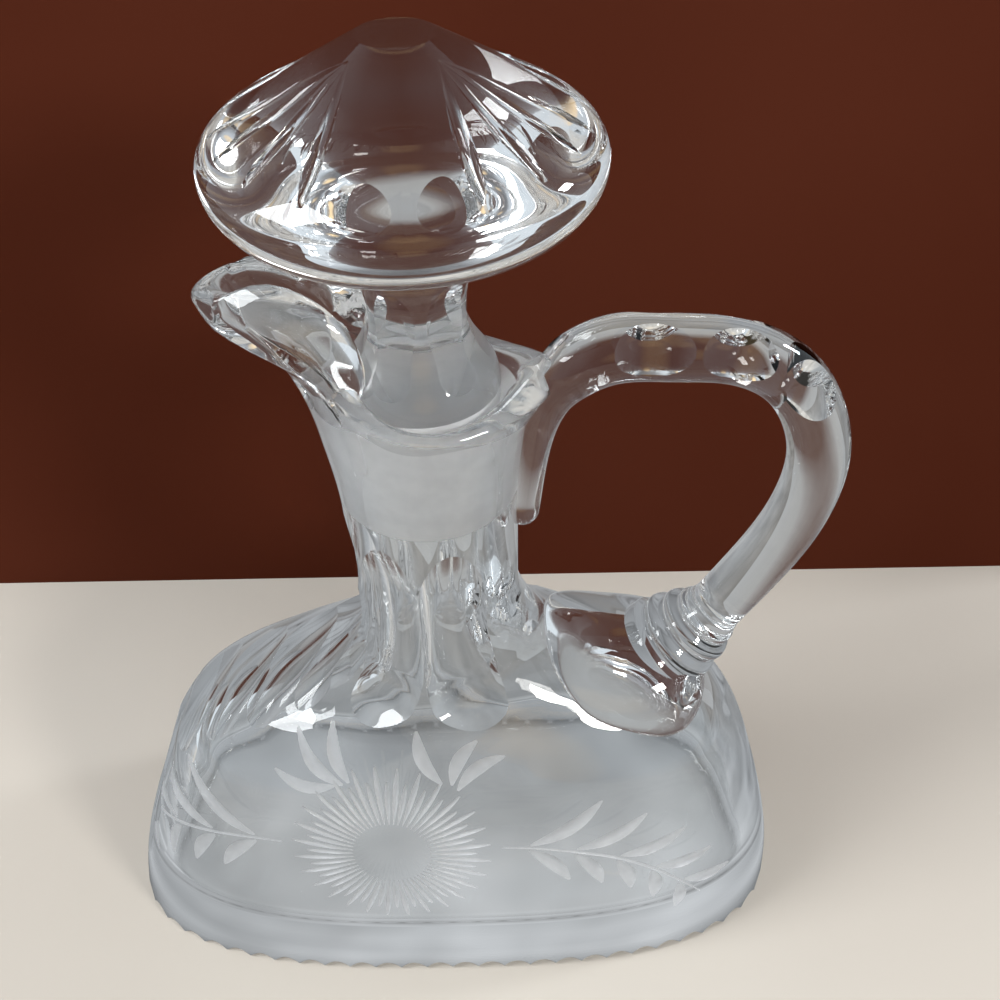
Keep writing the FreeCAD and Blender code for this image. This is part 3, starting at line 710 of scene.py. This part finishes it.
# Radius by the distance from the tail's tip, and at the foot by the distance from the shoulder.
HANDLE_RADII = [(0, 2.3), (3, 2.6), (13.5, 2.9), (23, 3.5), (30, 4.4), (37, 4.6), (48, 4.45), (90, 4.4),
                (150, 4.4)]
FOOT_RINGS = [(0, 8.6), (4.4, 8.3), (5.4, 7.2), (6.8, 7.7), (8.2, 7.3), (8.9, 6.3), (10.2, 6.7),
              (11.4, 6.3), (12.2, 5.3), (13.2, 5.4), (14.2, 4.9), (16, 4.4)]
TAIL_ROUND = 2.2
TAIL_LEAST = 0.03


def handle_course():
    """Points, unit tangents and distances along the handle's middle line."""
    line, run = spline(HANDLE_LINE, 0.5)
    return line, unit(np.gradient(line, axis=0)), run


def handle_tube():
    line, tangent, run = handle_course()
    end = run[-1]
    turn = turns(56)
    rows = []
    for (x, z), (tx, tz), s in zip(line, tangent, run):
        radius = float(smooth(HANDLE_RADII, s))
        above = end - s
        if above < FOOT_RINGS[-1][0]:
            radius = float(smooth(FOOT_RINGS, above))
        if s < TAIL_ROUND:
            radius *= math.sqrt(max(TAIL_LEAST, 1 - (1 - s / TAIL_ROUND) ** 2))
        normal = np.array([tz, 0.0, -tx])
        side = np.array([0.0, 1.0, 0.0])
        centre = np.array([x, 0.0, z])
        rows.append(centre + radius * (np.cos(turn)[:, None] * normal + np.sin(turn)[:, None] * side))
    return skin(rows, ["rod"] * (len(rows) - 1))


THUMBS = ((30.2, 119.2), (41.0, 118.6), (50.3, 113.4))
THUMB_RISE = 27.0
THUMB_WHEEL = 11.0
THUMB_DEPTH = 1.5
THUMB_WHEEL_LENGTH = 30.0


def thumb_cuts():
    """Wheels that press an oval into the front and the back of the handle at each step."""
    line, tangents, run = handle_course()
    cutters = []
    rise = math.radians(THUMB_RISE)
    for i, (x, z) in enumerate(THUMBS):
        k = int(np.argmin(np.hypot(line[:, 0] - x, line[:, 1] - z)))
        tangent = np.array([tangents[k, 0], 0.0, tangents[k, 1]])
        over = np.array([-tangents[k, 1], 0.0, tangents[k, 0]])
        radius = float(smooth(HANDLE_RADII, run[k]))
        for side in (-1, 1):
            outward = math.cos(rise) * side * np.array([0.0, 1.0, 0.0]) + math.sin(rise) * over
            centre = np.array([line[k, 0], 0.0, line[k, 1]]) + outward * (radius - THUMB_DEPTH + THUMB_WHEEL)
            tag = f"thumb{i}{'fb'[side > 0]}"
            cutters.append(wheel(centre, np.cross(tangent, outward), THUMB_WHEEL, THUMB_WHEEL_LENGTH, tag))
    return cutters


PAD_X = 30.5
PAD_HALF_LENGTH = 13.5
PAD_HALF_WIDTH = 13.5
PAD_SQUARENESS = 2.6
PAD_LOW_HEIGHT = 2.4
PAD_HIGH_HEIGHT = 7.5
PAD_SIDE_FALL = 0.45
PAD_EDGE_ROUND = 7
PAD_EDGE_SINK = 0.15
PAD_UNDER = 1.2
PAD_COLUMNS = 120


def height_over(x, y):
    """Height of the shoulder above a plan point."""
    low, high = np.full(np.shape(x), 20.0), np.full(np.shape(x), LIP_ROOT)
    for _ in range(HALVINGS):
        middle = (low + high) / 2
        _, right, depth, squareness, _ = outer_sizes(middle)
        inside = abs(x / right) ** squareness + abs(y / depth) ** squareness < 1
        low = np.where(inside, middle, low)
        high = np.where(inside, high, middle)
    return (low + high) / 2


def pad():
    """The gather of glass draped over the shoulder under the handle."""
    across, along = np.cos(turns(PAD_COLUMNS)), np.sin(turns(PAD_COLUMNS))
    over, under = [], []
    for rho in np.sin(np.linspace(0.02, math.pi / 2, 34)):
        scale = rho * superellipse(across, along, PAD_SQUARENESS)
        x = PAD_X + PAD_HALF_LENGTH * scale * across
        y = PAD_HALF_WIDTH * scale * along
        e = 0.2
        z = height_over(x, y)
        dx = (height_over(x + e, y) - height_over(x - e, y)) / (2 * e)
        dy = (height_over(x, y + e) - height_over(x, y - e)) / (2 * e)
        normal = unit(np.stack([-dx, -dy, np.ones_like(dx)], -1))
        point = np.stack([x, y, z], -1)
        ramp = np.clip((x - PAD_X + PAD_HALF_LENGTH) / (1.5 * PAD_HALF_LENGTH), 0, 1)
        lift = PAD_LOW_HEIGHT + (PAD_HIGH_HEIGHT - PAD_LOW_HEIGHT) * ramp ** 2 * (3 - 2 * ramp)
        lift = lift * (1 - PAD_SIDE_FALL * (y / PAD_HALF_WIDTH) ** 2)
        rise = lift * (1 - rho ** PAD_EDGE_ROUND) ** 0.5 - PAD_EDGE_SINK
        over.append(point + unit(normal + 2 * UP) * rise[:, None])
        under.append(point - normal * PAD_UNDER)
    return skin(over + under[::-1], ["pad"] * (len(over) - 1) + ["flat"] * len(under), "pad", "flat")


CORE_GROWTH = 0.8
CORE_TOP = 133.0


def hollow_core():
    """The vessel's open space, a little larger, to keep the handle and the pad out of it."""
    rows = []
    for height in np.linspace(FLOOR + FLOOR_CORNER, CORE_TOP, 120):
        level = height + np.zeros(COLUMNS)
        inner = cavity(level) if height < FIT_LOW else funnel(level) if height > LIP_FLARE else cone(level)
        radius = np.linalg.norm(inner[:, :2], axis=1)[:, None]
        least = 0.0 if height < FIT_LOW else fit_radius(height)
        plan = inner[:, :2] / radius * (np.maximum(radius, least) + CORE_GROWTH)
        rows.append(np.concatenate([plan, inner[:, 2:]], 1))
    return skin(rows, ["flat"] * (len(rows) - 1))


# ---------------------------------------------------------------- stopper
STOPPER_TOP = 160.0
HEAD_RADIUS = 23.4
HEAD_RIM = 146.8
CONE_EDGE = (14.5, 154.2)
TABLE_RADIUS = 4.5
STEM_RADIUS = 6.7
STEM_MIDDLE = 127.0
PLUG_END = 96.8
PLUG_CHAMFER = 0.6
STOPPER_COLUMNS = 256
# Outline from the plug's top edge up to the cone, as (radius, height).
STEM_OUTLINE = [(10.2, 117.3), (8.9, 119.6), (7.5, 122), (6.75, 125), (6.75, 129.0), (7.5, 133.0)]
HEAD_OUTLINE = [(9.6, 136.2), (13.6, 138.5), (18.0, 140.0), (21.2, 141.9), (22.9, 144.2),
                (HEAD_RADIUS, HEAD_RIM)]
DOME_OUTLINE = [(22.6, 149.0), (20.6, 150.8), (17.6, 152.6), CONE_EDGE]


def stopper_blank():
    plug = FIT_RADIUS - FIT_CLEARANCE
    low = plug - FIT_TAPER * (FIT_TOP - PLUG_END)
    chamfer_top = PLUG_END + PLUG_CHAMFER
    curve, _ = spline([(plug, FIT_TOP)] + STEM_OUTLINE + HEAD_OUTLINE + DOME_OUTLINE, 0.45)
    turn = turns(STOPPER_COLUMNS)
    blank = Rows()

    def add(radius, height, tag):
        blank.add(np.stack([radius * np.cos(turn), radius * np.sin(turn), height + 0 * turn], -1), tag)

    add(low - PLUG_CHAMFER, PLUG_END, "plug")
    add(low, chamfer_top, "chamfer")
    for share in np.linspace(0, 1, 16)[1:]:
        add(low + (plug - low) * share, chamfer_top + (FIT_TOP - chamfer_top) * share, "plug")
    for radius, height in curve[1:]:
        add(radius, height, "head")
    for share in np.linspace(0, 1, 12)[1:]:
        add(CONE_EDGE[0] + (TABLE_RADIUS - CONE_EDGE[0]) * share,
            CONE_EDGE[1] + (STOPPER_TOP - CONE_EDGE[1]) * share, "cone")
    return skin(blank.rows, blank.tags, "plug", "flat")


STEM_WHEELS = 6
STEM_TURN = 8.0
STEM_WHEEL = 12.5
STEM_WHEEL_LENGTH = 30.0
STEM_CUT = 0.6


def stem_wheels():
    """Facets round the stem."""
    cutters = []
    for i in range(STEM_WHEELS):
        angle = 2 * math.pi * i / STEM_WHEELS + math.radians(STEM_TURN)
        distance = STEM_RADIUS - STEM_CUT + STEM_WHEEL
        centre = (distance * math.cos(angle), distance * math.sin(angle), STEM_MIDDLE)
        axis = (-math.sin(angle), math.cos(angle), 0)
        cutters.append(wheel(centre, axis, STEM_WHEEL, STEM_WHEEL_LENGTH, f"stem{i}"))
    return cutters


CROWN = [(TABLE_RADIUS, STOPPER_TOP)] + DOME_OUTLINE[::-1]


def head_height(radius):
    return np.interp(radius, [r for r, _ in CROWN], [z for _, z in CROWN])


FAN_START = 6.5
FAN_END_ANGLES = (25, 46, 65, 81)
FAN_END = 21.3
FAN_WIDTH = 2.0
FAN_DEPTH = 0.55
FAN_LIFT = 0.6


def head_groove(start, end, tag):
    """V groove over the head between two plan points, widest past its middle."""
    share = np.linspace(0, 1, 25)
    px = start[0] + (end[0] - start[0]) * share
    py = start[1] + (end[1] - start[1]) * share
    radius = np.hypot(px, py)
    e = 0.4
    slope = (head_height(radius + e) - head_height(radius - e)) / (2 * e)
    point = np.stack([px, py, head_height(radius)], -1)
    normal = unit(np.stack([-slope * px / radius, -slope * py / radius, np.ones_like(px)], -1))
    across = unit(np.cross(unit(np.gradient(point, axis=0)), normal))
    widths = FAN_WIDTH * (0.05 + np.sin(math.pi * np.clip(share ** 1.5 * 0.98, 0, 1)) ** 0.75)
    return v_cut(point, normal, across, widths, FAN_DEPTH * widths / FAN_WIDTH, FAN_LIFT, tag)


def head_cuts():
    """Four fans of grooves: two start beside the front panel, two beside the back one."""
    sets = [[] for _ in FAN_END_ANGLES]
    corner = FAN_START * math.sqrt(0.5)
    for front_back in (-1, 1):
        for left_right in (-1, 1):
            start = (left_right * corner, front_back * corner)
            for i, angle in enumerate(FAN_END_ANGLES):
                turn = math.radians(angle)
                end = (left_right * FAN_END * math.sin(turn), front_back * FAN_END * math.cos(turn))
                sets[i].append(head_groove(start, end, f"mitre{i}"))
    return [joined(solids) for solids in sets]


# ---------------------------------------------------------------- materials
CRYSTAL_IOR = 1.54


def nodes_of(name):
    """Material with one Principled shader, wired to its output."""
    material = bpy.data.materials.new(name)
    material.use_nodes = True
    tree = material.node_tree
    tree.nodes.clear()
    out = tree.nodes.new("ShaderNodeOutputMaterial")
    shader = tree.nodes.new("ShaderNodeBsdfPrincipled")
    tree.links.new(shader.outputs["BSDF"], out.inputs["Surface"])
    return material, tree, shader


def varied(tree, socket, low, high, scale, detail=3.0):
    """Soft noise between two values or colours, in object space."""
    place = tree.nodes.new("ShaderNodeTexCoord")
    noise = tree.nodes.new("ShaderNodeTexNoise")
    noise.inputs["Scale"].default_value = scale
    noise.inputs["Detail"].default_value = detail
    tree.links.new(place.outputs["Object"], noise.inputs["Vector"])
    ramp = tree.nodes.new("ShaderNodeValToRGB")
    ramp.color_ramp.elements[0].position = 0.35
    ramp.color_ramp.elements[1].position = 0.65
    ramp.color_ramp.elements[0].color = (*low, 1) if isinstance(low, tuple) else (low, low, low, 1)
    ramp.color_ramp.elements[1].color = (*high, 1) if isinstance(high, tuple) else (high, high, high, 1)
    tree.links.new(noise.outputs["Fac"], ramp.inputs["Fac"])
    tree.links.new(ramp.outputs["Color"], socket)


def glass(name, low, high, roughness, transmission, scale=60):
    """Glass of uneven tint. Roughness is one value, or a pair that it varies between."""
    material, tree, shader = nodes_of(name)
    varied(tree, shader.inputs["Base Color"], low, high, scale)
    if isinstance(roughness, tuple):
        varied(tree, shader.inputs["Roughness"], roughness[0], roughness[1], scale * 3)
    else:
        shader.inputs["Roughness"].default_value = roughness
    shader.inputs["IOR"].default_value = CRYSTAL_IOR
    shader.inputs["Transmission Weight"].default_value = transmission
    return material


crystal = glass("crystal_clear", (0.965, 0.978, 0.975), (0.99, 0.995, 0.992), 0.0, 1.0)
ground = glass("crystal_ground", (0.86, 0.87, 0.88), (0.93, 0.94, 0.95), (0.42, 0.55), 0.5, 400)
engraved = glass("crystal_engraved", (0.84, 0.85, 0.86), (0.92, 0.93, 0.94), (0.35, 0.5), 0.82, 500)

# ---------------------------------------------------------------- build
vessel = made("carafe_vessel", vessel_shell())
cut(vessel, edge_notches() + side_flutes() + neck_flutes())
cut(vessel, [flower("engraved0"), branch(1, "engraved1"), branch(-1, "engraved2"), sprays("engraved3")])
handle = made("handle_part", handle_tube())
cut(handle, thumb_cuts())
combine(handle, [made("pad_part", pad())], "UNION")
cut(handle, [hollow_core()])
combine(vessel, [handle], "UNION")
finishes = {"default": crystal, "bore": ground, "ledge": ground}
finishes.update({f"engraved{k}": engraved for k in range(4)})
shade(vessel, finishes)

stopper = made("carafe_stopper", stopper_blank())
cut(stopper, stem_wheels() + head_cuts())
shade(stopper, {"default": crystal, "plug": ground, "chamfer": ground})

for piece, node, slot_name in ((vessel, "vessel", "vessel_crystal"), (stopper, "stopper", "stopper_crystal")):
    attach(piece, "root")
    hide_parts(node)

# ---------------------------------------------------------------- stage
def plane(name, corners, material):
    """Flat piece of the stage."""
    mesh = bpy.data.meshes.new(name)
    mesh.from_pydata([tuple(MM * v for v in corner) for corner in corners], [], [(0, 1, 2, 3)])
    mesh.materials.append(material)
    obj = bpy.data.objects.new(name, mesh)
    bpy.context.scene.collection.objects.link(obj)
    return obj


def ramp_of(tree, value, stops):
    """Colour ramp over a value, through (position, colour) stops."""
    ramp = tree.nodes.new("ShaderNodeValToRGB")
    elements = ramp.color_ramp.elements
    while len(elements) < len(stops):
        elements.new(0.5)
    for element, (position, colour) in zip(elements, stops):
        element.position = position
        element.color = (*colour, 1)
    tree.links.new(value, ramp.inputs["Fac"])
    return ramp.outputs["Color"]


def math_node(tree, operation, *values):
    """Math node over sockets and plain numbers."""
    node = tree.nodes.new("ShaderNodeMath")
    node.operation = operation
    for socket, value in zip(node.inputs, values):
        if isinstance(value, (int, float)):
            socket.default_value = value
        else:
            tree.links.new(value, socket)
    return node.outputs["Value"]


def mix_colours(tree, kind, factor, a, b):
    """Mixes two colour sockets."""
    mix = tree.nodes.new("ShaderNodeMix")
    mix.data_type = "RGBA"
    mix.blend_type = kind
    mix.inputs["Factor"].default_value = factor
    tree.links.new(a, mix.inputs["A"])
    tree.links.new(b, mix.inputs["B"])
    return mix.outputs["Result"]


def split_coordinates(tree, source):
    """The coordinates of the given kind, whole and as X, Y and Z."""
    place = tree.nodes.new("ShaderNodeTexCoord").outputs[source]
    parts = tree.nodes.new("ShaderNodeSeparateXYZ")
    tree.links.new(place, parts.inputs["Vector"])
    return place, parts.outputs


def through_glass(tree):
    """1 for what is seen in or through the glass, 0 for what the camera sees directly."""
    path = tree.nodes.new("ShaderNodeLightPath")
    return math_node(tree, "MAXIMUM", path.outputs["Is Transmission Ray"], path.outputs["Is Glossy Ray"])


def stage_material(name, low, high):
    """Plain diffuse surface, which the glass sees as a glow. Returns the parts that the caller wires on."""
    material, tree, shader = nodes_of(name)
    varied(tree, shader.inputs["Base Color"], low, high, 6)
    shader.inputs["Roughness"].default_value = 0.9
    shader.inputs["Specular IOR Level"].default_value = 0.0
    even = tree.nodes.new("ShaderNodeEmission")
    mix = tree.nodes.new("ShaderNodeMixShader")
    tree.links.new(through_glass(tree), mix.inputs["Fac"])
    tree.links.new(shader.outputs["BSDF"], mix.inputs[1])
    tree.links.new(even.outputs["Emission"], mix.inputs[2])
    out = next(node for node in tree.nodes if node.type == "OUTPUT_MATERIAL")
    tree.links.new(mix.outputs["Shader"], out.inputs["Surface"])
    return material, tree, mix, even, out


FLOOR_LOW, FLOOR_HIGH = (0.52, 0.475, 0.42), (0.56, 0.515, 0.455)
# What the glass sees of the floor: painted shade that darkens it from the front towards the wall, and painted
# contact shadow and caustic light in rings outward from the foot.
FLOOR_WALL_SHADE_STOPS = [(0.12, (0.22, 0.21, 0.20)), (0.42, (0.34, 0.36, 0.38)), (0.62, (0.50, 0.52, 0.54)),
                     (0.85, (0.66, 0.64, 0.60))]
# Painted contact shadow and caustic light: dark and bright rings outward from the foot.
FLOOR_SHADOW_AND_CAUSTIC_RINGS = [(0.10, 0.66), (0.20, 0.52), (0.26, 0.22), (0.31, 1.0), (0.37, 0.45), (0.46, 0.9),
                     (0.6, 0.5), (0.95, 0.66)]
FLOOR_DEPTH_SCALE = -5.0
FLOOR_RING_SCALE = 0.25
# Scale of the painted light and shade of cloth folds.
FOLD_SHADING_SCALE = 34.0


def floor_look():
    """Floor that the glass sees with painted shade falling off towards the wall, painted shadow and caustic
    rings round the foot, and painted light and shade of cloth folds.
    """
    material, tree, _, even, _ = stage_material("stage_floor", FLOOR_LOW, FLOOR_HIGH)
    place, parts = split_coordinates(tree, "Object")
    depth = math_node(tree, "MULTIPLY_ADD", parts["Y"], FLOOR_DEPTH_SCALE, 0.5)
    # painted shade: the glass sees the floor darken from the front towards the wall
    painted_wall_shade = ramp_of(tree, depth, FLOOR_WALL_SHADE_STOPS)
    terms = []
    for axis, half_size in (("X", LEFT_REACHES[0][1]), ("Y", DEPTHS[0][1])):
        share = math_node(tree, "DIVIDE", math_node(tree, "ABSOLUTE", parts[axis]), half_size * MM)
        terms.append(math_node(tree, "POWER", share, SQUARENESSES[0][1]))
    outward = math_node(tree, "MULTIPLY", math_node(tree, "ADD", *terms), FLOOR_RING_SCALE)
    # painted shadow and caustic rings round the foot
    ring = ramp_of(tree, outward, [(position, (level,) * 3) for position, level in FLOOR_SHADOW_AND_CAUSTIC_RINGS])
    # painted light and shade of cloth folds: noise that varies the strength of the glow the glass sees
    fold_shading = tree.nodes.new("ShaderNodeTexNoise")
    fold_shading.inputs["Scale"].default_value = FOLD_SHADING_SCALE
    fold_shading.inputs["Detail"].default_value = 2.0
    tree.links.new(place, fold_shading.inputs["Vector"])
    uneven = math_node(tree, "MULTIPLY_ADD", fold_shading.outputs["Fac"], 1.9, 0.55)
    tree.links.new(mix_colours(tree, "MULTIPLY", 1.0, painted_wall_shade, ring), even.inputs["Color"])
    tree.links.new(uneven, even.inputs["Strength"])
    return material


WALL_LOW, WALL_HIGH = (0.060, 0.014, 0.007), (0.076, 0.019, 0.010)
# What the glass sees of the wall, over its lowest 100 mm.
WALL_STOPS = [(0.0, (0.40, 0.41, 0.42)), (0.28, (0.36, 0.36, 0.36)), (0.46, (0.085, 0.035, 0.024)),
              (1.0, (0.066, 0.020, 0.012))]


def wall_look():
    """Dark wall, clear from behind so that the object can be seen from every side."""
    material, tree, mix, even, out = stage_material("stage_wall", WALL_LOW, WALL_HIGH)
    _, parts = split_coordinates(tree, "Object")
    height = math_node(tree, "MULTIPLY", parts["Z"], 10.0)
    tree.links.new(ramp_of(tree, height, WALL_STOPS), even.inputs["Color"])
    geometry = tree.nodes.new("ShaderNodeNewGeometry")
    clear = tree.nodes.new("ShaderNodeBsdfTransparent")
    sided = tree.nodes.new("ShaderNodeMixShader")
    tree.links.new(geometry.outputs["Backfacing"], sided.inputs["Fac"])
    tree.links.new(mix.outputs["Shader"], sided.inputs[1])
    tree.links.new(clear.outputs["BSDF"], sided.inputs[2])
    tree.links.new(sided.outputs["Shader"], out.inputs["Surface"])
    return material


FLOOR_HALF_WIDTH, FLOOR_HALF_DEPTH = 900, 700
WALL_LEFT, WALL_RIGHT, WALL_Y, WALL_TOP = -150, 170, 72, 240
plane("stage_floor", [(x * FLOOR_HALF_WIDTH, y * FLOOR_HALF_DEPTH, 0)
                      for x, y in ((-1, -1), (1, -1), (1, 1), (-1, 1))], floor_look())
plane("stage_wall", [(WALL_LEFT, WALL_Y, 0), (WALL_RIGHT, WALL_Y, 0), (WALL_RIGHT, WALL_Y, WALL_TOP),
                     (WALL_LEFT, WALL_Y, WALL_TOP)], wall_look())


def lamp(name, place, target, size_x, size_y, power, colour):
    """Soft rectangular lamp; places and sizes in millimetres, power in watts."""
    data = bpy.data.lights.new(name, "AREA")
    data.shape = "RECTANGLE"
    data.size, data.size_y = size_x * MM, size_y * MM
    data.energy = power
    data.color = colour
    obj = bpy.data.objects.new(name, data)
    obj.location = Vector(place) * MM
    obj.rotation_mode = "QUATERNION"
    obj.rotation_quaternion = (Vector(target) - Vector(place)).to_track_quat("-Z", "Y")
    bpy.context.scene.collection.objects.link(obj)


lamp("window", (-340, -110, 440), (0, 0, 90), 200, 300, 2.4, (0.95, 0.98, 1.0))
lamp("side_light", (430, 90, 330), (0, 0, 90), 60, 90, 0.8, (0.9, 0.95, 1.0))
lamp("front_light", (430, -400, 400), (0, 0, 60), 140, 110, 2.4, (1.0, 0.98, 0.95))

PLAIN_WORLD = (0.52, 0.54, 0.56, 1)
# What the glass sees of the room: dark ahead, light to both sides, and one warm lamp.
SIDEWAYS_STOPS = [(0.0, (0.12, 0.12, 0.13)), (0.35, (0.22, 0.23, 0.25)), (0.6, (0.62, 0.68, 0.74)),
                  (1.0, (0.75, 0.82, 0.88))]
WARM_DIRECTION = (0.12, -0.97, 0.2)
WARM_STOPS = [(0.93, (0, 0, 0)), (0.985, (1.0, 0.72, 0.36))]


def studio_world():
    world = bpy.data.worlds.new("studio")
    world.use_nodes = True
    tree = world.node_tree
    place, parts = split_coordinates(tree, "Generated")
    seen = ramp_of(tree, math_node(tree, "ABSOLUTE", parts["X"]), SIDEWAYS_STOPS)
    toward = tree.nodes.new("ShaderNodeVectorMath")
    toward.operation = "DOT_PRODUCT"
    toward.inputs[1].default_value = Vector(WARM_DIRECTION).normalized()
    tree.links.new(place, toward.inputs[0])
    warmth = ramp_of(tree, toward.outputs["Value"], WARM_STOPS)
    blend = tree.nodes.new("ShaderNodeMix")
    blend.data_type = "RGBA"
    blend.inputs["A"].default_value = PLAIN_WORLD
    tree.links.new(through_glass(tree), blend.inputs["Factor"])
    tree.links.new(mix_colours(tree, "ADD", 1.0, seen, warmth), blend.inputs["B"])
    background = tree.nodes["Background"]
    background.inputs["Strength"].default_value = 1.0
    tree.links.new(blend.outputs["Result"], background.inputs["Color"])
    return world


scene = bpy.context.scene
scene.world = studio_world()

# ---------------------------------------------------------------- camera
PITCH = math.radians(42.9)
ROLL = math.radians(1.0)
CAMERA_PLACE = (10.2, -118.4, 202.6)
CAMERA_LENS = 39.6
forward = Vector((0, math.cos(PITCH), -math.sin(PITCH)))
level_right = Vector((1, 0, 0))
level_up = level_right.cross(forward)
right = math.cos(ROLL) * level_right - math.sin(ROLL) * level_up
upward = math.sin(ROLL) * level_right + math.cos(ROLL) * level_up
camera_data = bpy.data.cameras.new("camera")
camera_data.lens = CAMERA_LENS
camera_data.clip_start = 0.01
camera = bpy.data.objects.new("camera", camera_data)
turned = Matrix((right, upward, -forward)).transposed().to_4x4()
camera.matrix_world = Matrix.Translation(Vector(CAMERA_PLACE) * MM) @ turned
scene.collection.objects.link(camera)
scene.camera = camera
scene.view_settings.view_transform = "Standard"
# Light crosses the cut glass many times.
scene.cycles.max_bounces = 32
scene.cycles.transmission_bounces = 28
scene.cycles.glossy_bounces = 12
scene.cycles.transparent_max_bounces = 16

bpy.context.view_layer.update()
